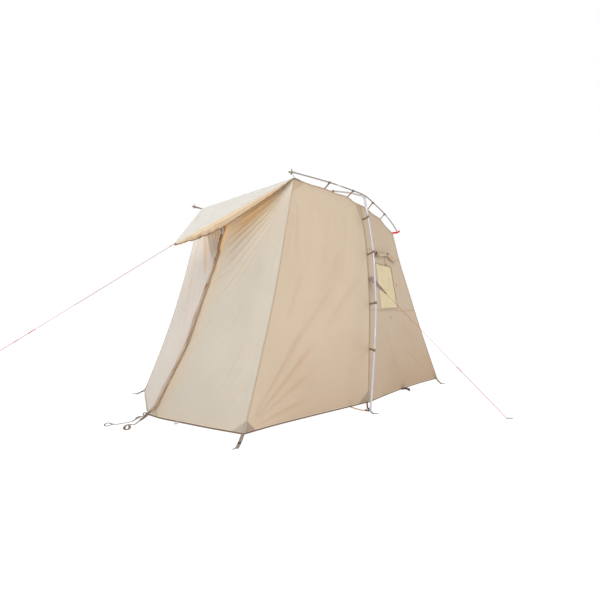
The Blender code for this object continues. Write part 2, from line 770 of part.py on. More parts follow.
def ground_band(name, points, widths, material):
    """Flat webbing on the ground through the points."""
    rings = []
    upward = Vector((0, 0, 1))
    spots = [Vector((x, y, GROUND + WEB_THICK / 2)) for x, y in points]
    for k, (spot, width) in enumerate(zip(spots, widths)):
        before = spots[max(k - 1, 0)]
        after = spots[min(k + 1, len(spots) - 1)]
        rings.append(flat_ring(spot, (after - before).normalized(), upward, width, WEB_THICK))
    return sweep(name, rings, material)


def add_ground_strap(materials):
    reach = FOOT_HALF - HOOP_RADIUS - REST_GAP
    ground_band("ground_strap", [(-reach, FOOT_Y), (0.0, FOOT_Y), (reach, FOOT_Y)], [WEB_WIDTH] * 3,
                materials["webbing"])


# Each strap's route on the ground and the way that its peg's arm points
PEG_STRAPS = {
    "front_right": ([(1.034, 0.004), (1.150, -0.097), (1.264, -0.197)], (0.35, -0.94)),
    "front_left": ([(-1.034, 0.004), (-0.985, -0.070), (-0.917, -0.134)], (-0.30, -0.95)),
    "rear_right": ([(0.730, 3.203), (0.846, 3.076), (0.963, 2.948)], (1.00, 0.03)),
    "rear_left": ([(-0.730, 3.203), (-0.846, 3.076), (-0.963, 2.948)], (-1.00, 0.03)),
}
SIDE_PEG = (1.312, 1.242)
SIDE_ARM = (0.87, 0.49)

# The two loose straps at the foot of the door, with their thin tails
DOOR_STRAPS = {
    "right": [(0.026, -0.352), (0.117, -0.481), (0.150, -0.510), (0.206, -0.560), (0.212, -0.622),
              (0.262, -0.655)],
    "left": [(-0.010, -0.353), (0.036, -0.447), (0.097, -0.530), (0.126, -0.600), (0.118, -0.668),
             (0.064, -0.722)],
}
DOOR_STRAP_WIDTHS = [WEB_WIDTH, WEB_WIDTH, TAIL_WIDTH, TAIL_WIDTH, TAIL_WIDTH, TAIL_WIDTH]


def add_peg_straps(materials):
    """Straps on the ground, all but the door's with a peg at the end."""
    webbing = materials["webbing"]
    foot = Vector((FOOT_HALF, FOOT_Y))
    way = (Vector(SIDE_PEG) - foot).normalized()
    start = foot + way * (HOOP_RADIUS + REST_GAP)
    routes = dict(PEG_STRAPS)
    for side, sign in (("right", 1), ("left", -1)):
        route = [(sign * x, y) for x, y in (start, start.lerp(Vector(SIDE_PEG), 0.5), SIDE_PEG)]
        routes["side_" + side] = (route, (sign * SIDE_ARM[0], SIDE_ARM[1]))
    for place, (route, arm) in routes.items():
        ground_band("peg_strap_" + place, route, [WEB_WIDTH] * 3, webbing)
        end = Vector((*route[-1], GROUND))
        way = (end - Vector((*route[-2], GROUND))).normalized()
        add_peg("peg_" + place, end + way * (PEG_RADIUS + REST_GAP), Vector((*arm, 0)), materials["peg"])
    for side, route in DOOR_STRAPS.items():
        ground_band("peg_strap_door_" + side, route, DOOR_STRAP_WIDTHS, webbing)


def add_peg(name, foot, arm, material):
    """The bent head of a driven peg: it rises from the ground and turns level along the arm."""
    arm = arm.normalized()
    low = PEG_RISE - PEG_BEND
    path = [foot, foot + Vector((0, 0, low / 2)), foot + Vector((0, 0, low))]
    for angle in (30, 60, 90):
        turn = math.radians(angle)
        rise = Vector((0, 0, low + math.sin(turn) * PEG_BEND))
        path.append(foot + arm * (1 - math.cos(turn)) * PEG_BEND + rise)
    path.append(path[-1] + arm * PEG_ARM)
    add_tube(name, path, PEG_RADIUS, material)


def guy_rings(start, end, upward, profile):
    """Rings along a taut line; the profile gives distance, half width and half thickness."""
    along = (end - start).normalized()
    length = (end - start).length
    rings = []
    for place, wide, tall in profile:
        distance = place if place >= 0 else length + place
        rings.append(round_ring(start + along * distance, along, upward, wide, tall))
    return rings


def guy_profile(head, slider):
    """Distances with half widths and half thicknesses: the head, the cord and its slider."""
    cord = (CORD_RADIUS, CORD_RADIUS)
    block = (SLIDER_WIDE, SLIDER_TALL)
    step = 0.002
    return head + [
        (slider - SLIDER_HALF - step, *cord), (slider - SLIDER_HALF, *block),
        (slider + SLIDER_HALF, *block), (slider + SLIDER_HALF + step, *cord), (-0.001, *cord)]


def add_guys(materials):
    thin = CORD_RADIUS
    upward = Vector((0, 0, 1))
    tip = Vector((0, CANOPY_TIP_Y, CANOPY_TIP_Z)) + ROOF_EDGE_UP * CLOTH / 2
    front_end = Vector((0, FRONT_GUY_Y, GROUND + GUY_HEIGHT))
    way = (front_end - tip).normalized()
    start = tip + way * 2 * REST_GAP
    front = guy_profile([(0.0, LOOP_HALF, thin), (0.03, thin, thin)], FRONT_SLIDER)
    sweep("guy_line_front", guy_rings(start, front_end, upward, front), materials["cord"])
    add_guy_peg("guy_peg_front", front_end, way, materials["peg"])
    share = share_at(hoop_seam, lambda point: point.z > SIDE_GUY_START_Z)
    seam = hoop_seam(share) + hoop_seam_normal(share) * (2 * TAPE_RADIUS + 2 * REST_GAP)
    side_end = Vector((SIDE_GUY_X, SIDE_GUY_Y, GROUND + GUY_HEIGHT))
    side_way = (side_end - seam).normalized()
    origin = seam + side_way * SIDE_WEB_LIFT
    flat = WEB_THICK / 2
    web = [(0.0, SIDE_WEB_HALF, flat), (SIDE_WEB_LENGTH, SIDE_WEB_TIP, flat),
           (SIDE_WEB_LENGTH + 0.04, thin, thin)]
    side = guy_profile(web, SIDE_SLIDER)
    for name, sign in (("right", 1), ("left", -1)):
        rings = guy_rings(flip(origin, sign), flip(side_end, sign), Vector((sign, 0, 0)), side)
        sweep("guy_line_" + name, rings, materials["cord"])
        add_guy_peg("guy_peg_" + name, flip(side_end, sign), flip(side_way, sign), materials["peg"])


def add_guy_peg(name, end, way, material):
    """A peg just past the end of a guy line, its arm pointing on along the pull."""
    flat = Vector((way.x, way.y, 0)).normalized()
    foot = Vector((end.x, end.y, GROUND)) + flat * (PEG_RADIUS + REST_GAP)
    add_peg(name, foot, flat, material)


def make_materials():
    return {
        "cloth": make_material("cloth", (0.64, 0.52, 0.38), 0.85),
        "zip": make_material("zip", (0.52, 0.48, 0.42), 0.6),
        "mesh": make_material("mesh", (0.66, 0.60, 0.38), 0.9),
        "pole": make_material("pole", (0.66, 0.66, 0.68), 0.3, 0.9),
        "hub": make_material("hub", (0.80, 0.80, 0.80), 0.5),
        "webbing": make_material("webbing", (0.27, 0.20, 0.15), 0.8),
        "red": make_material("red", (0.80, 0.06, 0.02), 0.6),
        "cord": make_material("cord", (0.62, 0.22, 0.20), 0.7),
        "peg": make_material("peg", (0.40, 0.40, 0.41), 0.35, 0.9),
    }


def build():
    clear_scene()
    frame = bpy.data.objects.new("awning", None)
    bpy.context.collection.objects.link(frame)
    frame.location = (0, -MIDDLE_Y, -GROUND)
    materials = make_materials()
    add_panels(materials)
    add_window_rolls(materials)
    add_canopy(materials)
    add_poles(materials)
    add_pole_tips(materials)
    add_hoop_tapes(materials)
    add_roof_tapes(materials)
    add_arch_tape(materials)
    add_rear_straps(materials)
    add_ground_strap(materials)
    add_peg_straps(materials)
    add_guys(materials)


build()
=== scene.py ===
"""The drive-away awning dressed on its frame: canvas, seams, webbing, poles, pegs and guy lines.

Every shape is worked out in the drawing of the tent, where x is to the right seen from the door,
y runs from the line of the front corners to the rear and z is the height above the sewn hem. A
finished piece is set down from the drawing onto the frame.
"""
from math import cos, exp, hypot, pi, radians, sin, sqrt

import bmesh
import bpy
from mathutils import Matrix, Vector, noise


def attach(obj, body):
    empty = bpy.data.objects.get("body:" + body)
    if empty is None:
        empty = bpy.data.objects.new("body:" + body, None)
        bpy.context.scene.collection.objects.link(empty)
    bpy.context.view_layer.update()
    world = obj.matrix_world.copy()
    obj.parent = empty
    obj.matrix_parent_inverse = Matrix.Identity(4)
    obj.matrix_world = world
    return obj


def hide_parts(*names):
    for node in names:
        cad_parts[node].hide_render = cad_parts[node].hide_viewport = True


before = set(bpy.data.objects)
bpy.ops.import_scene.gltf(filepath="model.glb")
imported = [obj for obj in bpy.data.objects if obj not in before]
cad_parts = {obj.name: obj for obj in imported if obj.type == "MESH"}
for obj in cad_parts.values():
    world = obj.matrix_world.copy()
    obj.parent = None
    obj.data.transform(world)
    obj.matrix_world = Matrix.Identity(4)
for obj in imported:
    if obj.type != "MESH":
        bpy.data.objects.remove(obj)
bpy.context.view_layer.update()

# The drawing against the frame
GROUND = -0.011
MIDDLE_Y = 0.3409
SET_DOWN = Vector((0, -MIDDLE_Y, -GROUND))
UP = Vector((0, 0, 1))
SIDES = (("right", 1), ("left", -1))
# A place inside the tent, which all its cloth faces away from
INSIDE = Vector((0, 1.45, 0.9))

# Camera
CAMERA_PLACE = Vector((3.8775, -2.161, 1.0806))
CAMERA_RIGHT = Vector((0.6463, 0.763, 0)).normalized()
PHOTO_WIDTH = 600
PHOTO_FOCAL = 427
PHOTO_DROP = 3
SENSOR = 36

# Cloth
CANVAS = 0.0016
THIN_CANVAS = 0.0012
ROLLED_CANVAS = 0.001
NET = 0.0008
HEM_HEIGHT = GROUND + 0.0036
ZIP_HALF = 0.012
ROOF_FRONT_HALF = 0.887
FRONT_HALF = 1.045

# Corners of the cloth
FRONT_FOOT = (FRONT_HALF, 0, HEM_HEIGHT)
HOOP_SEAM_FOOT = (1, 1.55, HEM_HEIGHT)
REAR_FOOT = (0.738, 3.212, HEM_HEIGHT)
ROOF_CORNER = (ROOF_FRONT_HALF, 0.642, 2.149)
SHOULDER = (0.95, 1.472, 2.006)
REAR_CORNER = (0.669, 2.355, 1.842)

# Threads, ribs and braid, by their pitch
WARP_PITCH = 0.0011
WEFT_PITCH = 0.0013
RIB_PITCH = 0.0022
STRAND_PITCH = 0.003
NET_PITCH = 0.0016
FLECK_PITCH = 0.004
BRAID_PITCH = 0.0012
# A wave texture of scale 1 has this pitch
WAVE = pi / 10

# Poles
HOOP_RADIUS = 0.009
SIDE_POLE_RADIUS = 0.0063
HUB_RADIUS = 0.013
HUB_BELOW = 0.115
HUB_ABOVE = 0.022
FOOT = Vector((1.229, 1.293, GROUND))
CROSS_Z = 2.083
ARCH_TOP = Vector((0, 1.458, 2.276))


def line_through(*points):
    """A smooth line through the points, read by the share of its length."""
    points = [Vector(point) for point in points]
    knots = [0.0]
    for first, second in zip(points, points[1:]):
        knots.append(knots[-1] + (second - first).length)
    knots = [knot / knots[-1] for knot in knots]
    slopes = []
    for k in range(len(points)):
        before = max(k - 1, 0)
        after = min(k + 1, len(points) - 1)
        slopes.append((points[after] - points[before]) / (knots[after] - knots[before]))

    def read(t):
        k = 0
        while k < len(points) - 2 and t > knots[k + 1]:
            k += 1
        span = knots[k + 1] - knots[k]
        s = (t - knots[k]) / span
        start = points[k] * (2 * s**3 - 3 * s**2 + 1) + slopes[k] * span * (s**3 - 2 * s**2 + s)
        end = points[k + 1] * (3 * s**2 - 2 * s**3) + slopes[k + 1] * span * (s**3 - s**2)
        return start + end

    return tabled(read)


def tabled(line, steps=400):
    """The same line read from a table, which is quicker."""
    table = [line(k / steps) for k in range(steps + 1)]

    def read(t):
        place = min(max(t, 0.0), 1.0) * steps
        k = min(int(place), steps - 1)
        return table[k].lerp(table[k + 1], place - k)

    return read


def part_of(line, start, end):
    return lambda t: line(start + (end - start) * t)


def heading(line, t, step):
    """The way that a line runs at a place on it."""
    return (line(min(t + step, 1)) - line(max(t - step, 0))).normalized()


def flip(point, sign):
    """The point, or its mirror image on the left where sign is -1."""
    return Vector((sign * point.x, point.y, point.z))


def mirrored(read):
    return lambda *place: flip(read(*place), -1)


def spanned(bottom, top, left, right):
    """The surface between four lines that meet at their ends."""
    corners = (bottom(0), bottom(1), top(0), top(1))

    def read(u, v):
        across = bottom(u) * (1 - v) + top(u) * v
        up = left(v) * (1 - u) + right(v) * u
        low = corners[0] * (1 - u) + corners[1] * u
        high = corners[2] * (1 - u) + corners[3] * u
        return across + up - (low * (1 - v) + high * v)

    return read


front_hem = line_through(
    (0, -0.36, HEM_HEIGHT), (0.2, -0.322, HEM_HEIGHT), (0.43, -0.241, HEM_HEIGHT),
    (0.74, -0.127, HEM_HEIGHT), FRONT_FOOT)
side_hem = line_through(
    FRONT_FOOT, (1.016, 0.33, HEM_HEIGHT), (1.006, 0.8, HEM_HEIGHT), (1.003, 1.25, HEM_HEIGHT),
    HOOP_SEAM_FOOT)
rear_hem = line_through(
    HOOP_SEAM_FOOT, (0.945, 1.785, HEM_HEIGHT), (0.844, 2.271, HEM_HEIGHT), (0.768, 2.789, HEM_HEIGHT),
    REAR_FOOT)
corner_seam = line_through(
    FRONT_FOOT, (0.985, 0.205, 0.55), (0.942, 0.382, 1.1), (0.913, 0.512, 1.6), ROOF_CORNER)
hoop_seam = line_through(
    HOOP_SEAM_FOOT, (1.028, 1.522, 0.26), (1.048, 1.503, 0.54), (1.054, 1.5, 0.99), (1.024, 1.496, 1.5),
    (0.972, 1.484, 1.86), SHOULDER)
rear_edge = line_through(
    REAR_FOOT, (0.692, 2.908, 0.65), (0.669, 2.635, 1.23), (0.664, 2.5, 1.51), REAR_CORNER)
roof_front_half = line_through((0, 0.597, 2.129), (0.44, 0.60825, 2.134), ROOF_CORNER)
roof_hoop_half = line_through((0, 1.455, 2.205), (0.4, 1.457, 2.172), (0.72, 1.462, 2.1), SHOULDER)
roof_rear_half = line_through((0, 2.41, 1.955), (0.36, 2.395, 1.928), REAR_CORNER)
roof_side_front = line_through(
    ROOF_CORNER, (0.922, 0.8, 2.112), (0.951, 0.962, 2.093), (0.961, 1.1, 2.068), (0.966, 1.256, 2.057),
    (0.96, 1.36, 2.022), SHOULDER)
roof_side_rear = line_through(
    SHOULDER, (0.936, 1.57, 1.995), (0.912, 1.69, 1.958), (0.867, 1.87, 1.929), (0.785, 2.09, 1.872),
    REAR_CORNER)

ZIP_FOOT_SHARE = ZIP_HALF / FRONT_HALF
ZIP_TOP_SHARE = ZIP_HALF / ROOF_FRONT_HALF
zip_line = line_through(
    front_hem(ZIP_FOOT_SHARE), (ZIP_HALF, -0.181, 0.22), (ZIP_HALF, 0.004, 0.61), (ZIP_HALF, 0.236, 1.16),
    (ZIP_HALF, 0.35, 1.46), (ZIP_HALF, 0.452, 1.76), roof_front_half(ZIP_TOP_SHARE))

front_panel = spanned(
    part_of(front_hem, ZIP_FOOT_SHARE, 1), part_of(roof_front_half, ZIP_TOP_SHARE, 1),
    zip_line, corner_seam)
front_wall = spanned(side_hem, roof_side_front, corner_seam, hoop_seam)
rear_wall = spanned(rear_hem, roof_side_rear, hoop_seam, rear_edge)


def across_roof(half):
    """A line over the roof from left, 0, to right, 1."""
    return tabled(lambda u: flip(half(abs(2 * u - 1)), -1 if u < 0.5 else 1))


front_roof = spanned(
    across_roof(roof_front_half), across_roof(roof_hoop_half), mirrored(roof_side_front), roof_side_front)
rear_roof = spanned(
    across_roof(roof_hoop_half), across_roof(roof_rear_half), mirrored(roof_side_rear), roof_side_rear)

ROOF_EDGE_UP = Vector((0, -0.61, 0.79)).normalized()
CANOPY_TIP = Vector((0.016, -0.092, 1.582))
CANOPY_LIFT = 0.0024


def canopy_edge(t):
    """The right sloping edge from the roof corner, 0, to the tip, 1."""
    return roof_front_half(1).lerp(CANOPY_TIP, t) + ROOF_EDGE_UP * CANOPY_LIFT


def canopy_back(u):
    """The canopy's seam on the roof's front edge."""
    return across_roof(roof_front_half)(u) + ROOF_EDGE_UP * CANOPY_LIFT


hoop_half = line_through(
    FOOT, (1.241, 1.298, 0.15), (1.249, 1.304, 0.31), (1.256, 1.322, 0.62), (1.247, 1.35, 1),
    (1.222, 1.366, 1.25), (1.186, 1.387, 1.5), (1.148, 1.398, 1.66), (1.094, 1.415, 1.87),
    (1.05, 1.434, 1.99), (1.0045, 1.456, CROSS_Z), (0.925, 1.458, 2.116), (0.817, 1.458, 2.156),
    (0.555, 1.458, 2.223), (0.285, 1.458, 2.262), ARCH_TOP)
side_pole = line_through(
    (0.944, 0.574, 2.178), (1.01, 0.966, 2.141), (1.036, 1.21, 2.111), (1.0365, 1.43, 2.0845),
    (0.996, 1.616, 2.043), (0.918, 1.907, 1.97), (0.796, 2.21, 1.903), (0.665, 2.466, 1.857))


# Finishes

class Board:
    """Short ways to place and join a tree's nodes."""

    def __init__(self, tree):
        self.tree = tree

    def put(self, kind, settings=None, **inputs):
        """A new node with its settings and inputs, whose names have underscores for spaces."""
        node = self.tree.nodes.new(kind)
        for key, value in (settings or {}).items():
            setattr(node, key, value)
        for key, value in inputs.items():
            self.set(node.inputs[key.replace("_", " ")], value)
        return node

    def set(self, socket, value):
        """Joins another socket to this one, or gives it a value."""
        if isinstance(value, bpy.types.NodeSocket):
            self.tree.links.new(value, socket)
        else:
            socket.default_value = value

    def maths(self, operation, first, second=0.0, third=0.0):
        node = self.put("ShaderNodeMath", {"operation": operation})
        for socket, value in zip(node.inputs, (first, second, third)):
            self.set(socket, value)
        return node.outputs[0]

    def blend(self, share, first, second, kind="MIX"):
        node = self.put("ShaderNodeMix", {"data_type": "RGBA", "blend_type": kind})
        for socket, value in zip((node.inputs[0], node.inputs[6], node.inputs[7]), (share, first, second)):
            self.set(socket, value)
        return node.outputs[2]

    def stretch(self, vector, scale):
        return self.put("ShaderNodeMapping", Vector=vector, Scale=scale).outputs[0]

    def spread(self, vector, scale, detail=3.0):
        return self.put("ShaderNodeTexNoise", Vector=vector, Scale=scale, Detail=detail).outputs["Fac"]

    def bands(self, vector, pitch, way):
        """Waves of the given pitch in metres along X, Y or the diagonal."""
        settings = {"wave_type": "BANDS", "bands_direction": way}
        return self.put("ShaderNodeTexWave", settings, Vector=vector, Scale=WAVE / pitch).outputs["Fac"]

    def between(self, value, low, high, to_low=0.0, to_high=1.0):
        return self.put("ShaderNodeMapRange", Value=value, From_Min=low, From_Max=high, To_Min=to_low,
                        To_Max=to_high).outputs[0]


def tone(red, green, blue):
    """A colour as a screen shows it, 0 to 255, made linear."""
    def straight(value):
        value /= 255
        return value / 12.92 if value <= 0.04045 else ((value + 0.055) / 1.055) ** 2.4
    return (straight(red), straight(green), straight(blue), 1.0)


def new_group(name, inputs):
    """A shader node group with its named inputs, which puts out colour, roughness and height."""
    group = bpy.data.node_groups.new(name, "ShaderNodeTree")
    for label, kind, value in inputs:
        socket = group.interface.new_socket(label, in_out="INPUT", socket_type="NodeSocket" + kind)
        if value is not None:
            socket.default_value = value
    for label, kind in (("Colour", "Color"), ("Roughness", "Float"), ("Height", "Float")):
        group.interface.new_socket(label, in_out="OUTPUT", socket_type="NodeSocket" + kind)
    board = Board(group)
    return group, board, board.put("NodeGroupInput").outputs, board.put("NodeGroupOutput").inputs


def make_canvas_weave():
    """Plain weave with slubs and a mottle, between the cloth's tone and the painted warm shade tone of its
    folds, made paler or darker by painted light.
    """
    group, board, given, out = new_group(
        "canvas weave",
        [("Cloth", "Vector", None), ("Tone", "Color", (0.6, 0.5, 0.4, 1)),
         ("Fold Tone", "Color", (0.5, 0.3, 0.2, 1)), ("Fold", "Float", 0.0), ("Light", "Float", 1.0)])
    cloth = given["Cloth"]
    warp = board.bands(cloth, WARP_PITCH, "X")
    weft = board.bands(cloth, WEFT_PITCH, "Y")
    threads = board.maths("MAXIMUM", warp, weft)
    slubs = board.spread(board.stretch(cloth, (60, 900, 1)), 1.0, 2.0)
    mottle = board.spread(cloth, 2.2, 5.0)
    creased = board.spread(board.stretch(cloth, (9, 4, 1)), 1.0, 6.0)
    # Painted shade: the Fold share mixes in the warm tone of shaded creases.
    colour = board.blend(given["Fold"], given["Tone"], given["Fold Tone"])
    dark = board.blend(1.0, colour, (0.86, 0.83, 0.79, 1), "MULTIPLY")
    colour = board.blend(board.between(mottle, 0.35, 0.7, 0.0, 0.32), colour, dark)
    colour = board.blend(board.between(threads, 0.2, 1.0, 0.16, 0.0), colour, dark)
    colour = board.blend(board.between(slubs, 0.62, 0.8, 0.0, 0.25), colour, dark)
    # Painted light and shade: the colour is scaled up or down by the Light input.
    lit = board.put("ShaderNodeVectorMath", {"operation": "SCALE"}, Vector=colour, Scale=given["Light"])
    board.set(out["Colour"], lit.outputs[0])
    board.set(out["Roughness"], board.between(mottle, 0.3, 0.7, 0.78, 0.92))
    height = board.maths("MULTIPLY_ADD", creased, 1.6, threads)
    board.set(out["Height"], board.maths("MULTIPLY_ADD", slubs, 0.5, height))
    return group


def new_finish(name):
    material = bpy.data.materials.new(name)
    material.use_nodes = True
    board = Board(material.node_tree)
    shader = material.node_tree.nodes["Principled BSDF"]
    return material, board, shader


def cloth_place(board):
    return board.put("ShaderNodeUVMap", {"uv_map": "cloth"}).outputs[0]


def bumped(board, shader, height, distance, strength):
    bump = board.put("ShaderNodeBump", Height=height, Distance=distance, Strength=strength)
    board.set(shader.inputs["Normal"], bump.outputs[0])


def dress(board, shader, group, distance, strength, **given):
    """Puts a group with its values in the material and joins it to the shader."""
    node = board.put("ShaderNodeGroup", {"node_tree": group}, **given)
    board.set(shader.inputs["Base Color"], node.outputs["Colour"])
    board.set(shader.inputs["Roughness"], node.outputs["Roughness"])
    bumped(board, shader, node.outputs["Height"], distance, strength)


def canvas_finish(name, colour, warm_shade_colour):
    material, board, shader = new_finish(name)
    # Painted shade and light, read from two vertex layers: warm shade in the creases, and a gain that makes
    # the colour paler or darker.
    warm_shade_and_light = board.put("ShaderNodeAttribute", {"attribute_name": "warm_shade_and_light"}).outputs["Fac"]
    painted_light_and_shade = board.put("ShaderNodeAttribute", {"attribute_name": "painted_light_and_shade"}).outputs["Fac"]
    dress(board, shader, CANVAS_WEAVE, 0.0005, 0.55, Cloth=cloth_place(board), Tone=tone(*colour),
          Fold_Tone=tone(*warm_shade_colour), Fold=warm_shade_and_light, Light=board.maths("ADD", painted_light_and_shade, 1.0))
    shader.inputs["Sheen Weight"].default_value = 0.12
    return material


def make_webbing_ribs():
    """Ribs across a band and strands along it, darker where it is worn."""
    group, board, given, out = new_group(
        "webbing ribs",
        [("Cloth", "Vector", None), ("Tone", "Color", (0.3, 0.2, 0.15, 1)),
         ("Edge Tone", "Color", (0.1, 0.1, 0.1, 1))])
    cloth = given["Cloth"]
    ribs = board.bands(cloth, RIB_PITCH, "Y")
    strands = board.bands(cloth, STRAND_PITCH, "X")
    fuzz = board.spread(cloth, 700.0, 2.0)
    worn = board.spread(cloth, 35.0, 4.0)
    colour = board.blend(board.between(ribs, 0.0, 0.9, 0.55, 0.0), given["Tone"], given["Edge Tone"])
    colour = board.blend(board.between(worn, 0.4, 0.75, 0.0, 0.4), colour, given["Edge Tone"])
    colour = board.blend(board.between(fuzz, 0.5, 0.8, 0.0, 0.2), colour, given["Edge Tone"])
    board.set(out["Colour"], colour)
    board.set(out["Roughness"], board.between(fuzz, 0.2, 0.8, 0.7, 0.9))
    board.set(out["Height"], board.maths("MULTIPLY_ADD", strands, 0.5, ribs))
    return group


def webbing_finish(name, colour, edge_colour, distance=0.0005):
    material, board, shader = new_finish(name)
    dress(board, shader, WEBBING_RIBS, distance, 0.8, Cloth=cloth_place(board), Tone=tone(*colour),
          Edge_Tone=tone(*edge_colour))
    return material


def make_surface_wear():
    """A fine grain, with scratches where it is worn."""
    group, board, given, out = new_group(
        "surface wear",
        [("Place", "Vector", None), ("Tone", "Color", (0.5, 0.5, 0.5, 1)),
         ("Worn Tone", "Color", (0.4, 0.4, 0.4, 1)), ("Smooth", "Float", 0.3), ("Rough", "Float", 0.5)])
    place = given["Place"]
    cloudy = board.spread(place, 14.0, 5.0)
    scratches = board.spread(board.stretch(place, (900, 40, 900)), 1.0, 3.0)
    grain = board.spread(place, 1400.0, 2.0)
    worn = board.maths("MULTIPLY", board.between(cloudy, 0.4, 0.65), board.between(scratches, 0.5, 0.7))
    board.set(out["Colour"], board.blend(worn, given["Tone"], given["Worn Tone"]))
    board.set(out["Roughness"], board.between(cloudy, 0.0, 1.0, given["Smooth"], given["Rough"]))
    board.set(out["Height"], board.maths("MULTIPLY_ADD", scratches, 0.6, grain))
    return group


def hard_finish(name, colour, worn_colour, smooth, rough, metallic=0.0):
    """Metal or moulded plastic."""
    material, board, shader = new_finish(name)
    place = board.put("ShaderNodeTexCoord").outputs["Object"]
    dress(board, shader, SURFACE_WEAR, 0.00008, 0.4, Place=place, Tone=tone(*colour),
          Worn_Tone=tone(*worn_colour), Smooth=smooth, Rough=rough)
    shader.inputs["Metallic"].default_value = metallic
    return material


def net_finish():
    """Netting so fine that it looks like a sheet."""
    material, board, shader = new_finish("insect net")
    cloth = cloth_place(board)
    warp = board.bands(cloth, NET_PITCH, "X")
    weft = board.bands(cloth, NET_PITCH, "Y")
    threads = board.maths("MAXIMUM", warp, weft)
    mottle = board.spread(cloth, 6.0, 4.0)
    colour = board.blend(board.between(mottle, 0.3, 0.7), tone(221, 206, 170), tone(208, 194, 154))
    board.set(shader.inputs["Base Color"], colour)
    board.set(shader.inputs["Alpha"], board.between(threads, 0.35, 0.6, 0.55, 1.0))
    shader.inputs["Roughness"].default_value = 0.85
    bumped(board, shader, threads, 0.0003, 0.6)
    return material


def cord_finish():
    """Braided cord with a crossing fleck along it."""
    material, board, shader = new_finish("braided cord")
    cloth = cloth_place(board)
    fleck = board.bands(cloth, FLECK_PITCH, "DIAGONAL")
    braid = board.bands(cloth, BRAID_PITCH, "Y")
    colour = board.blend(board.between(fleck, 0.6, 0.8), tone(204, 118, 116), tone(140, 78, 78))
    board.set(shader.inputs["Base Color"], colour)
    board.set(shader.inputs["Roughness"], board.between(braid, 0.0, 1.0, 0.7, 0.9))
    bumped(board, shader, board.maths("ADD", braid, fleck), 0.0002, 0.8)
    return material


CANVAS_WEAVE = make_canvas_weave()
WEBBING_RIBS = make_webbing_ribs()
SURFACE_WEAR = make_surface_wear()
# Canvas: its name, its tone and the painted warm shade tone of its folds. Canopy, roof, front halves, front
# wall and rear wall are one canvas given paler and darker tones: painted light and shade.
CANVASES = {
    "canopy": ("canopy canvas", (218, 215, 208), (208, 188, 158)),
    "front": ("front canvas", (195, 186, 172), (215, 182, 136)),
    "front_left": ("front canvas, far half", (203, 194, 184), (212, 176, 136)),
    "wall": ("wall canvas", (202, 184, 160), (192, 156, 124)),
    "rear": ("rear wall canvas", (190, 170, 146), (176, 142, 108)),
    "roof": ("roof canvas", (216, 198, 174), (200, 168, 130)),
    # The valance is the canopy's cloth; its tan and dark tones are painted shade under the canopy's edge.
    "valance": ("valance canvas", (220, 198, 168), (160, 116, 78)),
    # The rolled cover's orange fold tone is painted shade on its underside.
    "roll": ("rolled canvas", (186, 171, 154), (194, 126, 68)),
    "patch": ("corner patch canvas", (172, 161, 145), (156, 144, 128)),
    "wall_patch": ("wall patch canvas", (158, 140, 120), (142, 124, 104)),
    "tan_patch": ("tan patch canvas", (191, 168, 144), (176, 150, 124)),
    "lining": ("zip lining", (182, 169, 158), (150, 132, 120)),
    # A near-white sheet in the open top of the zip: painted light where the bright gap shows.
    "bright_gap_sheet": ("bright gap sheet", (250, 248, 244), (226, 214, 200)),
    # The flap's orange tone is painted light shining through shaded cloth.
    "flap": ("zip flap canvas", (206, 164, 116), (168, 122, 80)),
}
# Webbing and seams: the name, the tone, the tone at the edges and how deep the ribs are
WEBBINGS = {
    "seam": ("seam tape", (190, 168, 142), (160, 138, 114), 0.0003),
    "wall_seam": ("wall seam", (190, 166, 141), (162, 138, 114), 0.0003),
    # The rear seams are the wall seam's tape in a darker tone: painted shade.
    "rear_seam": ("rear wall seam", (176, 151, 127), (150, 126, 104), 0.0003),
    "seam_line": ("double stitch line", (187, 161, 136), (158, 134, 112), 0.0003),
    "hem": ("hem binding", (118, 96, 80), (90, 70, 58), 0.0004),
    "pale": ("pale stitch line", (214, 204, 180), (190, 176, 150), 0.0003),
    "flap_tape": ("roof edge tape", (210, 182, 148), (184, 154, 122), 0.0003),
    # The valance binding's dark tone is partly its own colour and partly painted shadow under the valance's
    # edge.
    "valance_hem": ("valance binding", (146, 106, 74), (116, 82, 56), 0.0003),
    "dark_web": ("dark webbing", (98, 76, 64), (70, 54, 46)),
    "guy_web": ("guy webbing", (160, 142, 130), (112, 96, 86)),
    "mark": ("bar tack thread", (172, 130, 98), (134, 98, 72)),
    "brown": ("brown webbing", (160, 134, 112), (126, 102, 84)),
    "door_web": ("door webbing", (142, 124, 112), (98, 82, 72)),
    "front_web": ("front strap webbing", (164, 147, 137), (118, 100, 90)),
    "foot_web": ("foot strap webbing", (138, 96, 76), (104, 68, 54)),
    "pale_grey": ("pale grey webbing", (216, 214, 212), (192, 190, 188)),
    "taupe": ("taupe webbing", (160, 144, 130), (104, 90, 80)),
    "grey": ("grey webbing", (178, 167, 160), (142, 130, 122)),
    "tan": ("tan webbing", (196, 160, 126), (156, 120, 88)),
    "pinkish": ("ground webbing", (208, 170, 140), (178, 138, 108)),
    "red": ("red webbing", (234, 42, 18), (206, 32, 14)),
}
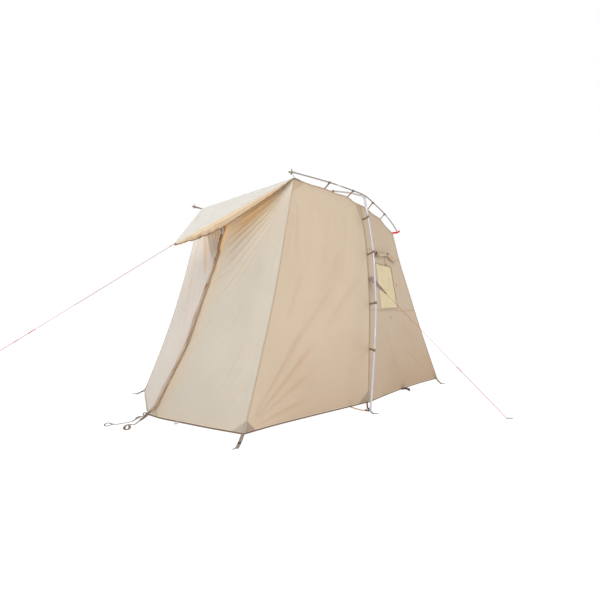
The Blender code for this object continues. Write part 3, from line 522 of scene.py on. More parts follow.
# Metal and mouldings: the name, the tone, the worn tone, the roughness from and to, and how metallic
HARD_FINISHES = {
    "hoop": ("hoop pole metal", (200, 201, 208), (174, 175, 183), 0.3, 0.5, 0.45),
    "side": ("side pole metal", (160, 152, 144), (128, 119, 110), 0.28, 0.5, 0.6),
    "ferrule": ("polished ferrule", (214, 214, 221), (184, 184, 192), 0.18, 0.32, 0.7),
    "sleeve": ("white sleeve", (204, 204, 211), (178, 178, 186), 0.35, 0.55),
    "arch": ("arch pole metal", (200, 195, 197), (172, 166, 168), 0.3, 0.5, 0.3),
    "tip": ("grey pole tip", (146, 128, 110), (108, 92, 78), 0.4, 0.6),
    "clip": ("dark clip", (118, 98, 84), (146, 124, 106), 0.4, 0.6),
    "dark": ("black moulding", (52, 46, 44), (84, 74, 68), 0.4, 0.6),
    "olive": ("olive toggle", (92, 86, 66), (120, 110, 88), 0.4, 0.6),
    "peg": ("peg steel", (156, 152, 148), (110, 104, 100), 0.3, 0.55, 0.5),
    "red_clip": ("dark red toggle", (140, 58, 42), (104, 46, 36), 0.4, 0.6),
    "slider": ("red slider", (206, 30, 40), (160, 20, 30), 0.3, 0.5),
    "coil": ("zip coil", (132, 104, 84), (98, 76, 60), 0.4, 0.6),
}
FINISH = {key: canvas_finish(*values) for key, values in CANVASES.items()}
FINISH.update((key, webbing_finish(*values)) for key, values in WEBBINGS.items())
FINISH.update((key, hard_finish(*values)) for key, values in HARD_FINISHES.items())
FINISH.update({"net": net_finish(), "cord": cord_finish()})


# Shapes

def new_shape():
    """An empty shape with cloth coordinates and two layers of painted shade and light for its colour."""
    bm = bmesh.new()
    bm.loops.layers.uv.new("cloth")
    bm.verts.layers.float.new("warm_shade_and_light")
    bm.verts.layers.float.new("painted_light_and_shade")
    return bm


def tints(bm):
    """How much of the painted warm shade tone a place has, and how much paler or darker painted light and
    shade make it.
    """
    return bm.verts.layers.float["warm_shade_and_light"], bm.verts.layers.float["painted_light_and_shade"]


def grid_on(bm, columns, rows, place, measure):
    """A grid laid by place(a, b), with its cloth coordinates from measure(a, b)."""
    made = bmesh.ops.create_grid(bm, x_segments=columns, y_segments=rows, size=0.5)["verts"]
    shares = {vert: (vert.co.x + 0.5, vert.co.y + 0.5) for vert in made}
    uv = bm.loops.layers.uv["cloth"]
    for vert, share in shares.items():
        cloth = measure(*share)
        for loop in vert.link_loops:
            loop[uv].uv = cloth
    for vert, share in shares.items():
        vert.co = place(*share)
    return shares


def listed(value, count):
    """A list as it is, or one value for each place."""
    return value if isinstance(value, (list, tuple)) else [value] * count


def at(value, place):
    """A function's value at the place, or a value as it is."""
    return value(place) if callable(value) else value


def waver(x, y, z):
    """A smooth uneven swing between about -1 and 1."""
    return noise.noise(Vector((x, y, z)))


# Cross shapes of round and flat things, to be scaled to half width and half height
ROUND = [(cos(2 * pi * k / 16), sin(2 * pi * k / 16)) for k in range(16)]
FLAT = [(1, 0.35), (0.93, 1), (0.45, 1), (0, 1), (-0.45, 1), (-0.93, 1), (-1, 0.35), (-1, -0.35), (-0.93, -1),
        (-0.45, -1), (0, -1), (0.45, -1), (0.93, -1), (1, -0.35)]


def draw_along(bm, points, upward, shape, wide, tall, sign=1):
    """A closed solid through the points, its cross shape scaled to half width and half height."""
    points = [flip(point, sign) for point in points]
    count = len(points)
    ups = [flip(up, sign) for up in listed(upward, count)]
    wides = listed(wide, count)
    talls = listed(tall, count)
    spots = []
    run = 0
    for k, point in enumerate(points):
        along = (points[min(k + 1, count - 1)] - points[max(k - 1, 0)]).normalized()
        side = along.cross(ups[k]).normalized()
        if k:
            run += (point - points[k - 1]).length
        spots.append((point, side * wides[k], side.cross(along) * talls[k], run))
    turns = len(shape)
    girth = 2 * pi * max(wides)

    def place(a, b):
        centre, side, top, _ = spots[round(b * (count - 1))]
        x, y = shape[round(a * turns) % turns]
        return centre + side * x + top * y

    def measure(a, b):
        return (a * girth, spots[round(b * (count - 1))][3])

    verts = list(grid_on(bm, turns, count - 1, place, measure))
    edges = {edge for vert in verts for edge in vert.link_edges}
    bmesh.ops.remove_doubles(bm, verts=verts, dist=1e-6)
    edges = [edge for edge in edges if edge.is_valid and edge.is_boundary]
    bmesh.ops.holes_fill(bm, edges=edges, sides=0)


def placed(name, data):
    """An object that is placed in the scene."""
    made = bpy.data.objects.new(name, data)
    bpy.context.collection.objects.link(made)
    return made


def set_piece(name, bm, finish, node=None, sharp=40, closed=True, sign=1):
    """Sets a shape on the frame as a piece, mirrored where sign is -1, which may replace a node."""
    if sign < 0:
        bmesh.ops.scale(bm, vec=(-1, 1, 1), verts=bm.verts[:])
    if closed:
        bmesh.ops.recalc_face_normals(bm, faces=bm.faces[:])
    bmesh.ops.translate(bm, vec=SET_DOWN, verts=bm.verts[:])
    mesh = bpy.data.meshes.new(name)
    bm.to_mesh(mesh)
    bm.free()
    mesh.materials.append(FINISH[finish])
    mesh.shade_smooth()
    mesh.set_sharp_from_angle(angle=radians(sharp))
    piece = placed(name, mesh)
    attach(piece, "root")
    if node:
        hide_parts(node)
    return piece


def set_cloth(name, bm, finish, thick, offset=-1, node=None):
    """An open shape as a piece, its thickness behind its face where the offset is -1."""
    piece = set_piece(name, bm, finish, node, sharp=60, closed=False)
    body = piece.modifiers.new("thickness", "SOLIDIFY")
    body.thickness = thick
    body.offset = offset
    return piece


def turn_towards(bm, shares, way):
    """Turns a grid over where its middle looks away from the given way."""
    bm.normal_update()
    middle = min(shares, key=lambda vert: abs(shares[vert][0] - 0.5) + abs(shares[vert][1] - 0.5))
    if middle.normal.dot(way) < 0:
        bmesh.ops.reverse_faces(bm, faces=bm.faces[:])
        bm.normal_update()


# Folds of the cloth

def soft(x):
    """A soft step from 0 up to 1 as x runs from 0 to 1."""
    x = min(max(x, 0), 1)
    return x * x * (3 - 2 * x)


def folds(width, height, creases, swell=0.006, seed=0, hem_shade=0):
    """How far the cloth stands out at u, v, and how much painted shade it has there. Each crease has its two
    ends, its half width at each, its rise and its warmth, the painted shade in its valley."""
    ready = []
    for au, av, bu, bv, wide_a, wide_b, rise, warm in creases:
        ax, ay = au * width, av * height
        dx, dy = bu * width - ax, bv * height - ay
        ready.append((ax, ay, dx, dy, hypot(dx, dy), wide_a, wide_b, rise, warm))

    def read(u, v):
        x, y = u * width, v * height
        border = min(x, width - x, y, height - y)
        out = 0
        # Painted shade along the hem.
        tint = hem_shade * exp(-y / 0.07)
        for ax, ay, dx, dy, length, wide_a, wide_b, rise, warm in ready:
            t = ((x - ax) * dx + (y - ay) * dy) / (length * length)
            if not 0 < t < 1:
                continue
            off = ((x - ax) * dy - (y - ay) * dx) / length
            wide = wide_a + (wide_b - wide_a) * t
            if abs(off) > 4 * wide:
                continue
            ends = soft(t / 0.12) * soft((1 - t) / 0.35)
            ridge = exp(-(off / wide) ** 2)
            valley = exp(-((off - 1.6 * wide) / wide) ** 2)
            out += rise * ends * (ridge - 0.8 * valley)
            # Painted shade in the crease's valley.
            tint += warm * soft(t / 0.34) * soft((1 - t) / 0.35) * (valley - 0.15 * ridge)
        loose = waver(x * 2.1, y * 1.1, seed)
        small = waver(x * 9, y * 4, seed + 5)
        out = out * soft(border / 0.015) + (loose * swell + small * 0.0011) * soft(border / 0.06)
        return out, min(max(tint, 0), 1)

    return read


def outward(surface, u, v):
    """The way out of the cloth, away from the middle of the tent."""
    step = 0.004
    along = surface(min(u + step, 1), v) - surface(max(u - step, 0), v)
    up = surface(u, min(v + step, 1)) - surface(u, max(v - step, 0))
    way = along.cross(up).normalized()
    point = surface(u, v)
    if way.dot(point - INSIDE) < 0:
        way.negate()
    return way


def stand_out(point, way, rise):
    """The point moved out of the cloth, level close to the ground, so that a hem stays down."""
    return point + Vector((way.x, way.y, way.z * soft((point.z - GROUND) / 0.08))) * rise


def on_cloth(surface, relief, u, v, lift):
    """A point that far above the folded cloth, with the way out there."""
    way = outward(surface, u, v)
    return stand_out(surface(u, v), way, relief(u, v)[0] + lift), way


def even(a, b):
    """A grid that is spread evenly over the cloth."""
    return a, b


def plain(u, v):
    """No painted light or shade anywhere."""
    return 0


def lay_cloth(name, surface, relief, columns, rows, finish, node, metres, warp=even, hole=None,
              thick=CANVAS, painted_light_and_shade=plain):
    """A stretched cloth with its folds, on the outer face of its solid."""
    bm = new_shape()
    warm_shade_and_light, pale = tints(bm)
    shares = grid_on(bm, columns, rows, lambda a, b: surface(*warp(a, b)),
                     lambda a, b: (warp(a, b)[0] * metres[0], warp(a, b)[1] * metres[1]))
    turn_towards(bm, shares, outward(surface, 0.5, 0.5))
    ways = {vert: vert.normal.copy() for vert in shares}
    for vert, share in shares.items():
        rise, tint = relief(*warp(*share))
        vert.co = stand_out(vert.co.copy(), ways[vert], rise)
        # Painted shade and painted light: each vertex gets the warm shade of the relief and the gain of the
        # given function.
        vert[warm_shade_and_light] = tint
        vert[pale] = painted_light_and_shade(*warp(*share))
    if hole:
        cut_hole(bm, shares, *hole)
    piece = set_cloth(name, bm, finish, thick, node=node)


def cut_hole(bm, shares, first, last, low, high):
    """Takes out the faces between the given shares of the grid."""
    inside = []
    for face in bm.faces:
        a = sum(shares[vert][0] for vert in face.verts) / len(face.verts)
        b = sum(shares[vert][1] for vert in face.verts) / len(face.verts)
        if first < a < last and low < b < high:
            inside.append(face)
    bmesh.ops.delete(bm, geom=inside, context="FACES")


def band_on(bm, surface, relief, places, width, thick, lift=0):
    """A flat band sewn on the cloth through the places, given as u and v."""
    spots = [on_cloth(surface, relief, u, v, thick / 2 + lift) for u, v in places]
    draw_along(bm, [spot for spot, _ in spots], [way for _, way in spots], FLAT, width / 2, thick / 2)


def steps(start, end, count):
    """Places on a straight run between two places."""
    return [(start[0] + (end[0] - start[0]) * k / count, start[1] + (end[1] - start[1]) * k / count)
            for k in range(count + 1)]


def add_patch(bm, surface, relief, base_start, base_end, apex, lift=0.0008, count=14):
    """A patch with three corners."""
    def place(a, b):
        u = (base_start[0] * (1 - a) + base_end[0] * a) * (1 - b) + apex[0] * b
        v = (base_start[1] * (1 - a) + base_end[1] * a) * (1 - b) + apex[1] * b
        return u, v

    shares = grid_on(bm, count, count, lambda a, b: on_cloth(surface, relief, *place(a, b), lift)[0],
                     lambda a, b: (place(a, b)[0], place(a, b)[1] * 2))
    bmesh.ops.remove_doubles(bm, verts=list(shares), dist=1e-6)


def set_patches(name, surface, relief, finish, patches):
    """Three-cornered patches as one piece, which faces out of the tent."""
    bm = new_shape()
    for patch in patches:
        add_patch(bm, surface, relief, *patch)
    bm.normal_update()
    bmesh.ops.recalc_face_normals(bm, faces=bm.faces[:])
    for face in bm.faces:
        if face.normal.dot(face.calc_center_median() - INSIDE) < 0:
            face.normal_flip()
    return set_cloth(name, bm, finish, THIN_CANVAS, offset=1)


# The front, its zip and the walls

# The sizes that the creases are laid out on, in metres
FRONT_WIDTH = 1
FRONT_HEIGHT = 2.3
WALL_WIDTH = 1.2
WALL_HEIGHT = 2.15
REAR_WIDTH = 1.3
REAR_HEIGHT = 2.03
# Creases as folds() reads them; the fan runs out of the near roof corner
CORNER_FAN = [
    (0.962, 0.978, 0.164, 0.85, 0.012, 0.034, 0.01, 0.95),
    (0.95, 0.968, 0.12, 0.805, 0.01, 0.026, 0.01, 0.9),
    (0.94, 0.96, 0.083, 0.765, 0.01, 0.03, 0.01, 0.8),
    (0.935, 0.95, 0.06, 0.715, 0.01, 0.03, 0.009, 0.62),
    (0.93, 0.938, 0.11, 0.672, 0.01, 0.028, 0.008, 0.46),
    (0.93, 0.925, 0.17, 0.62, 0.01, 0.03, 0.008, 0.34),
    (0.93, 0.91, 0.2, 0.555, 0.012, 0.032, 0.007, 0.22),
    (0.93, 0.89, 0.24, 0.48, 0.012, 0.034, 0.007, 0.16),
    (0.9, 0.86, 0.35, 0.47, 0.012, 0.032, 0.006, 0.1),
    (0.577, 0.687, 0.152, 0.418, 0.018, 0.032, 0.005, 0.1)]
RIGHT_CREASES = CORNER_FAN + [
    (0.666, 0.516, 0.526, 0.287, 0.012, 0.016, 0.006, 0.22),
    (0.783, 0.313, 0.65, 0.096, 0.012, 0.018, 0.006, 0.23),
    (0.985, 0.216, 0.764, 0.055, 0.012, 0.018, 0.005, 0.2),
    (0.802, 0.341, 0.685, 0.255, 0.01, 0.014, 0.004, 0.18),
    (0.953, 0.419, 0.918, 0.233, 0.012, 0.016, 0.004, 0.14),
    (0.964, 0.168, 0.851, 0.099, 0.01, 0.014, 0.004, 0.14),
    (0.9, 0.33, 0.74, 0.11, 0.014, 0.02, 0.004, 0.1),
    (0.56, 0.36, 0.4, 0.16, 0.02, 0.026, 0.004, 0.08),
    (0.86, 0.56, 0.76, 0.37, 0.014, 0.02, 0.004, 0.09),
    (0.3, 0.42, 0.06, 0.3, 0.016, 0.022, 0.005, 0.16),
    (0.26, 0.34, 0.04, 0.24, 0.016, 0.02, 0.005, 0.12),
    (0.34, 0.64, 0.04, 0.56, 0.016, 0.022, 0.005, 0.14),
    (0.96, 0.8, 0.9, 0.52, 0.014, 0.022, 0.004, 0.06),
    (0.7, 0.03, 0.08, 0.032, 0.014, 0.014, 0.002, 0.08)]
LEFT_CREASES = [
    (0.64, 0.84, 0.112, 0.574, 0.026, 0.03, 0.01, 0.62),
    (0.52, 0.845, 0.056, 0.683, 0.012, 0.014, 0.008, 0.55),
    (0.43, 0.85, 0.05, 0.72, 0.01, 0.012, 0.007, 0.5),
    (0.35, 0.855, 0.04, 0.745, 0.01, 0.01, 0.007, 0.46),
    (0.28, 0.86, 0.03, 0.77, 0.008, 0.01, 0.006, 0.4),
    (0.84, 0.85, 0.705, 0.495, 0.016, 0.022, 0.006, 0.2),
    (0.96, 0.76, 0.8, 0.4, 0.014, 0.02, 0.005, 0.16),
    (0.76, 0.78, 0.48, 0.42, 0.014, 0.022, 0.006, 0.18),
    (0.716, 0.64, 0.134, 0.3, 0.026, 0.034, 0.007, 0.2),
    (0.447, 0.61, 0.02, 0.34, 0.018, 0.024, 0.006, 0.16),
    (0.38, 0.44, 0.04, 0.22, 0.018, 0.024, 0.005, 0.16),
    (0.64, 0.46, 0.3, 0.2, 0.022, 0.028, 0.005, 0.12),
    (0.86, 0.34, 0.64, 0.08, 0.016, 0.022, 0.004, 0.12),
    (0.96, 0.96, 0.3, 0.88, 0.014, 0.036, 0.008, 0.2)]
WALL_CREASES = [
    (0.02, 0.03, 0.434, 0.366, 0.009, 0.038, 0.009, 0.46),
    (0.434, 0.366, 0.86, 0.69, 0.038, 0.05, 0.006, 0.18),
    (0.014, 0.04, 0.3, 0.42, 0.008, 0.036, 0.008, 0.34),
    (0.123, 0.243, 0.62, 0.68, 0.022, 0.042, 0.006, 0.22),
    (0.03, 0.02, 0.45, 0.107, 0.008, 0.03, 0.007, 0.4),
    (0.03, 0.026, 0.46, 0.24, 0.008, 0.034, 0.007, 0.32),
    (0.122, 0.392, 0.186, 0.66, 0.024, 0.03, 0.004, 0.16),
    (0.32, 0.467, 0.64, 0.8, 0.032, 0.042, 0.005, 0.14),
    (0.1, 0.93, 0.221, 0.64, 0.018, 0.038, 0.005, 0.16),
    (0.06, 0.94, 0.1, 0.6, 0.014, 0.034, 0.005, 0.12),
    (0.3, 0.96, 0.33, 0.56, 0.034, 0.048, 0.004, 0.07),
    (0.52, 0.97, 0.5, 0.52, 0.036, 0.052, 0.004, 0.06),
    (0.76, 0.96, 0.7, 0.56, 0.034, 0.052, 0.004, 0.06)]
REAR_CREASES = [
    (0.06, 0.76, 0.4, 0.64, 0.014, 0.022, 0.004, 0.14),
    (0.64, 0.48, 0.86, 0.24, 0.024, 0.036, 0.005, 0.12),
    (0.3, 0.44, 0.46, 0.12, 0.034, 0.046, 0.005, 0.08),
    (0.9, 0.06, 0.5, 0.26, 0.016, 0.038, 0.006, 0.14),
    (0.92, 0.9, 0.7, 0.5, 0.018, 0.034, 0.005, 0.1),
    (0.08, 0.94, 0.3, 0.84, 0.016, 0.03, 0.004, 0.1)]
# How far the slack zip wavers aside of its line at each height of the front
ZIP_WANDER = [
    (0, 0), (0.022, 0.011), (0.044, 0.028), (0.067, 0.002), (0.089, -0.01), (0.112, -0.027), (0.133, -0.03),
    (0.154, -0.027), (0.197, -0.017), (0.218, -0.008), (0.239, 0.001), (0.261, 0.01), (0.282, 0.021),
    (0.339, 0.021), (0.37, 0.015), (0.414, 0.007), (0.46, 0), (0.504, -0.004), (0.55, -0.009), (0.574, 0),
    (0.597, -0.012), (0.62, -0.017), (0.643, -0.001), (0.667, -0.009), (0.691, -0.018), (0.705, -0.009),
    (0.724, -0.002), (0.747, -0.035), (0.77, -0.041), (0.789, -0.041), (0.806, -0.042), (0.823, -0.058),
    (0.843, -0.087), (1, -0.087)]
# Where the top of the zip stands open, as a share of its length
ZIP_OPEN_LOW = 0.715
ZIP_OPEN_HIGH = 0.838
# How wide and tall the patch at the door's foot is on each half
DOOR_PATCH = {"right": (0.135, 0.045), "left": (0.05, 0.018)}


def door_relief(base):
    """The folds of a front half, whose edge curls out beside the open top of the zip, with painted shade on
    the curled edge and beside the zip, and painted light just under the canopy.
    """
    def read(u, v):
        rise, tint = base(u, v)
        near = max(0, 1 - u / 0.07)
        open_part = soft((v - 0.7) / 0.05) * soft((0.9 - v) / 0.05)
        ripple = 0.5 + 0.5 * sin(v * 160) * sin(v * 71 + 1)
        rise += near * near * (0.01 * open_part + 0.003 * ripple)
        painted_canopy_light = 0.42 * exp(-below_canopy(u, v) / 0.07) * (1 - soft((u - 0.45) / 0.45))
        tint += near * open_part * 0.9 + near * (0.08 + 0.34 * ripple) * soft(v / 0.05) + painted_canopy_light
        return rise, min(tint, 1)
    return read


def lit_half(base):
    """Painted shade on the near half: warmer beside the zip and up towards the roof corner."""
    def read(u, v):
        rise, tint = base(u, v)
        beside = 0.28 * (1 - soft(u / 0.28)) * (1 - soft((v - 0.66) / 0.1))
        above = 0.08 * soft((u - 0.55) / 0.25) * soft((v - 0.66) / 0.12)
        return rise, min(1, tint + beside + above)
    return read


def straight_hem(base):
    """The far half's foot runs straighter than the near half's."""
    def read(u, v):
        rise, tint = base(u, v)
        return rise - 0.03 * sin(pi * sqrt(u)) * (1 - soft(v / 0.3)), tint
    return read


def below_canopy(u, v):
    """How far the place on the front is below the canopy's edge."""
    return max(0, 0.8 + 0.17 * u - v)


def near_front(u, v):
    """Painted light on the upper front, as if through the canopy, and near the outer corner, with painted
    shade near the door and the foot.
    """
    close = exp(-below_canopy(u, v) / 0.07) * (1 - 0.58 * soft((u - 0.55) / 0.4))
    door = 0.05 * (1 - soft(u / 0.5)) * (1 - soft((v - 0.45) / 0.15))
    foot = 0.08 * (1 - soft(v / 0.3)) * (1 - 0.55 * soft((u - 0.5) / 0.45))
    high = 0.24 * soft((v - 0.6) / 0.09) * (1 - soft((u - 0.08) / 0.28))
    corner = 0.04 * soft((u - 0.72) / 0.15) * soft((0.82 - v) / 0.1) * soft((v - 0.12) / 0.15)
    return 0.72 * close + high + corner - foot - door


def far_front(u, v):
    """Painted light on the far half, most of all close to the canopy's tip, with painted shade near its foot.
    """
    high = 0.22 * soft((v - 0.66) / 0.16) + 0.08 * soft((u - 0.4) / 0.2) * soft((v - 0.5) / 0.1)
    tip = 0.32 * soft((v - 0.76) / 0.06) * (1 - soft((u - 0.3) / 0.3))
    return high + tip - 0.05 * (1 - soft(v / 0.35))


def near_ground(u, v):
    """Painted shade: the front wall is a little darker towards its foot."""
    foot = -0.085 * (1 - soft(v / 0.48)) - 0.02 * u * (1 - soft(v / 0.3))
    return foot * (0.1 + 0.9 * soft(u / 0.45))


def rear_ground(u, v):
    """Painted shade: the rear wall is darker towards its foot."""
    return -0.04 * (1 - soft((v - 0.3) / 0.3)) - 0.055 * (1 - soft(v / 0.3)) - 0.02 * u


def shaded_towards_foot(base, amount, height):
    """The same folds with painted warm shade towards the cloth's foot."""
    def read(u, v):
        rise, tint = base(u, v)
        return rise, min(1, tint + amount * (1 - soft(v / height)) * (0.3 + 0.7 * soft(u / 0.4)))
    return read


wall_folds = folds(WALL_WIDTH, WALL_HEIGHT, WALL_CREASES, swell=0.009, seed=3, hem_shade=0.2)
rear_folds = folds(REAR_WIDTH, REAR_HEIGHT, REAR_CREASES, swell=0.008, seed=4, hem_shade=0.2)
right_folds = folds(FRONT_WIDTH, FRONT_HEIGHT, RIGHT_CREASES, seed=1, hem_shade=0.16)
left_folds = folds(FRONT_WIDTH, FRONT_HEIGHT, LEFT_CREASES, seed=2, hem_shade=0.12)
wall_relief = shaded_towards_foot(wall_folds, 0.24, 0.5)
rear_relief = shaded_towards_foot(rear_folds, 0.4, 0.5)
FRONT_RELIEF = {"right": lit_half(door_relief(right_folds)), "left": straight_hem(door_relief(left_folds))}
FRONT_PAINTED_LIGHT_AND_SHADE = {"right": near_front, "left": far_front}


def on_side(surface, side):
    """The surface on the right, or its mirror image on the left."""
    return surface if side == "right" else mirrored(surface)


def add_front():
    for side, finish in (("right", "front"), ("left", "front_left")):
        surface = on_side(front_panel, side)
        relief = FRONT_RELIEF[side]
        wide, tall = DOOR_PATCH[side]
        patch = set_patches("front_patch_" + side, surface, relief, "patch", (
            ((0.893, 0.002), (0.999, 0.002), (0.999, 0.047)),
            ((0.004, 0.002), (wide, 0.002), (0.004, tall))))
        lay_cloth("front_cloth_" + side, surface, relief, 72, 118, finish, "front_panel_" + side,
                  (FRONT_WIDTH, FRONT_HEIGHT),
                  painted_light_and_shade=FRONT_PAINTED_LIGHT_AND_SHADE[side])


def zip_place(v, aside, lift):
    """A point on the zip, that far aside and out of the cloth."""
    point = zip_line(v)
    ahead = heading(zip_line, v, 0.01)
    way = Vector((1, 0, 0)).cross(ahead).normalized()
    if way.y > 0:
        way.negate()
    return Vector((aside, point.y, point.z)) + way * lift, way


def zip_run(bm, low, high, count, aside, lift, shape, wide, tall):
    """A solid drawn up the zip between two heights."""
    spots = []
    for k in range(count + 1):
        v = low + (high - low) * k / count
        spots.append(zip_place(v, at(aside, v), at(lift, v)))
    draw_along(bm, [spot for spot, _ in spots], [way for _, way in spots], shape, wide, tall)


def zip_middle(v):
    """How far aside the zip's tape lies at that height."""
    return ZIP_HALF + stepped(v, ZIP_WANDER)


def zip_band(bm, low, high, count, left, right, lift, bulge=0.005):
    """A slack strip of cloth along the zip."""
    def place(a, b):
        v = low + (high - low) * b
        ends = soft(b / 0.05) * soft((1 - b) / 0.05)
        across = at(left, v) + (at(right, v) - at(left, v)) * a
        wave = waver(v * 34, a * 1.6, 21) * 0.004 * ends
        rise = lift + (bulge * sin(pi * a) + wave) * ends
        return zip_place(v, zip_middle(v) + across + 0.4 * wave, rise)[0]

    warm_shade_and_light, _ = tints(bm)
    shares = grid_on(bm, 10, count, place, lambda a, b: (a * 0.05, b * (high - low) * FRONT_HEIGHT))
    # Painted shade in streaks along the slack strip's folds.
    for vert, (a, b) in shares.items():
        streak = waver(b * (high - low) * 14, a * 2.6, 5)
        vert[warm_shade_and_light] = max(0, min(1, 0.3 + 1.1 * streak))


def set_cover(name, bm, finish):
    """A loose strip of cloth as a piece that faces forward."""
    bm.normal_update()
    turned_back = [face for face in bm.faces if face.normal.y > 0]
    if len(turned_back) > len(bm.faces) / 2:
        bmesh.ops.reverse_faces(bm, faces=bm.faces[:])
    set_cloth(name, bm, finish, CANVAS)


def cover_left(v):
    """The wavy far edge of the zip's cover."""
    return -0.033 + 0.008 * sin(v * 41) - 0.006 * sin(v * 17)


def cover_right(v):
    return 0.013 + 0.003 * sin(v * 57 + 2)


def top_flap_right(v):
    """The flap narrows to the left at its upper end."""
    return 0.03 - 0.062 * soft((v - 0.8) / 0.05)


def add_zip_cloths():
    """The tape behind the zip, its slack cover, the flap at the top, and a near-white sheet where the zip
    stands open: painted light for the bright gap.
    """
    lining = new_shape()
    zip_run(lining, 0.002, ZIP_OPEN_LOW, 90, -0.003, -0.001, FLAT, 0.011, 0.0012)
    zip_run(lining, ZIP_OPEN_HIGH, 0.998, 20, 0, -0.001, FLAT, 0.013, 0.0012)
    set_piece("zip_lining", lining, "lining", "door_zip")
    cover = new_shape()
    zip_band(cover, 0.018, 0.7, 150, cover_left, cover_right, 0.012)
    set_cover("zip_cover", cover, "lining")
    flap = new_shape()
    zip_band(flap, 0.69, 0.845, 60, 0.004, top_flap_right, 0.012)
    set_cover("zip_top_flap", flap, "flap")
    # A near-white sheet: painted light where the bright gap at the top of the zip shows.
    gap = new_shape()
    zip_band(gap, 0.808, 0.846, 16, 0.018, 0.048, 0.015, 0.002)
    set_cover("zip_top_bright_gap", gap, "bright_gap_sheet")


def beside_zip(off, swing=0, beat=0):
    """A line up the zip, that far to the right of its middle, with a swing."""
    return lambda v: zip_middle(v) + off + swing * sin(v * beat)


def add_zip_hardware():
    """The coil, the piping beside it, the sliders and the pull."""
    coil = new_shape()
    zip_run(coil, 0.022, 0.692, 160, beside_zip(0.016, 0.001, 90),
            lambda v: 0.0142 + 0.001 * sin(v * 60), ROUND, 0.0015, 0.0016)
    # The wide dark band up the open top of the zip is partly the coil and partly painted shadow in the gap
    # between the curled edges.
    zip_run(coil, 0.688, 0.806, 44, beside_zip(0, 0.002, 130), 0.015, FLAT,
            [0.003] + [0.0048] * 43 + [0.003], 0.0024)
    zip_run(coil, 0, 0.034, 12, beside_zip(-0.012), 0.009, FLAT, 0.0075, 0.0024)
    zip_run(coil, 0.846, 0.872, 12, lambda v: -0.072 + (v - 0.846) * 0.8, 0.01, FLAT, 0.004, 0.0018)
    set_piece("zip_coil", coil, "coil")
    # The piping's orange tone is painted light shining through the shaded edge of the cloth.
    piping = new_shape()
    widths = [min(0.0062 * (0.55 + 0.45 * waver(k * 0.31, 4, 8) ** 2 * 4), 0.0072) for k in range(181)]
    zip_run(piping, 0.02, 0.692, 180, beside_zip(0.025, 0.002, 61),
            lambda v: 0.0128 + 0.0014 * sin(v * 113), FLAT, widths, 0.0018)
    set_piece("zip_piping", piping, "flap")
    sliders = new_shape()
    for v, off in ((0.571, 0.004), (0.79, 0)):
        zip_run(sliders, v - 0.005, v + 0.005, 6, beside_zip(off), 0.02, ROUND,
                [0.003, 0.005, 0.006, 0.006, 0.006, 0.005, 0.003], 0.003)
    zip_run(sliders, 0.8, 0.812, 6, beside_zip(0.002), 0.0185, ROUND,
            [0.004, 0.008, 0.01, 0.01, 0.01, 0.008, 0.004], 0.0034)
    set_piece("zip_sliders", sliders, "dark")
    pull = new_shape()
    zip_run(pull, 0.553, 0.567, 6, beside_zip(-0.006), 0.02, FLAT, 0.004, 0.0014)
    set_piece("zip_pull", pull, "red")


def add_front_walls():
    for side, _ in SIDES:
        surface = on_side(front_wall, side)
        low = set_patches("wall_patch_" + side, surface, wall_relief, "wall_patch", (
            ((0.001, 0.002), (0.08, 0.002), (0.001, 0.047)),
            ((0.89, 0.002), (0.999, 0.002), (0.999, 0.068))))
        high = set_patches("upper_patch_" + side, surface, wall_relief, "tan_patch", (
            ((0.002, 0.996), (0.115, 0.996), (0.002, 0.94)),
            ((0.89, 0.992), (0.998, 0.992), (0.998, 0.895), 0.0004)))
        lay_cloth("front_wall_cloth_" + side, surface, wall_relief, 84, 110, "wall",
                  "side_wall_" + side + "_front", (WALL_WIDTH, WALL_HEIGHT),
                  painted_light_and_shade=near_ground)


# The window's corners on the rear wall, front and rear, as u and v
WINDOW_LOW = ((0.192, 0.481), (0.579, 0.496))
WINDOW_HIGH = ((0.15, 0.72), (0.557, 0.741))
# The lines of the wall's grid that are bent onto the window's edges
WINDOW_FIRST = 0.25
WINDOW_LAST = 0.75
WINDOW_BASE = 0.45
WINDOW_HEAD = 0.75
SEAM_WIDE = 0.006
SEAM_THICK = 0.0016
NET_BEHIND = 0.003


def stepped(x, marks):
    """Straight between marks, each a place and the value there."""
    for (low, first), (high, last) in zip(marks, marks[1:]):
        if x <= high:
            return first + (last - first) * (x - low) / (high - low)
    return marks[-1][1]


def window_warp(a, b):
    """Bends the grid so that its lines follow the window's edges."""
    up = min(max((b - WINDOW_BASE) / (WINDOW_HEAD - WINDOW_BASE), 0), 1)
    over = min(max((a - WINDOW_FIRST) / (WINDOW_LAST - WINDOW_FIRST), 0), 1)
    first = WINDOW_LOW[0][0] + (WINDOW_HIGH[0][0] - WINDOW_LOW[0][0]) * up
    last = WINDOW_LOW[1][0] + (WINDOW_HIGH[1][0] - WINDOW_LOW[1][0]) * up
    low = WINDOW_LOW[0][1] + (WINDOW_LOW[1][1] - WINDOW_LOW[0][1]) * over
    high = WINDOW_HIGH[0][1] + (WINDOW_HIGH[1][1] - WINDOW_HIGH[0][1]) * over
    u = stepped(a, [(0, 0), (WINDOW_FIRST, first), (WINDOW_LAST, last), (1, 1)])
    v = stepped(b, [(0, 0), (WINDOW_BASE, low), (WINDOW_HEAD, high), (1, 1)])
    return u, v


def window_line():
    corners = [WINDOW_LOW[0], WINDOW_LOW[1], WINDOW_HIGH[1], WINDOW_HIGH[0], WINDOW_LOW[0]]
    line = corners[:1]
    for first, second, count in zip(corners, corners[1:], (16, 14, 16, 14)):
        line += steps(first, second, count)[1:]
    return line


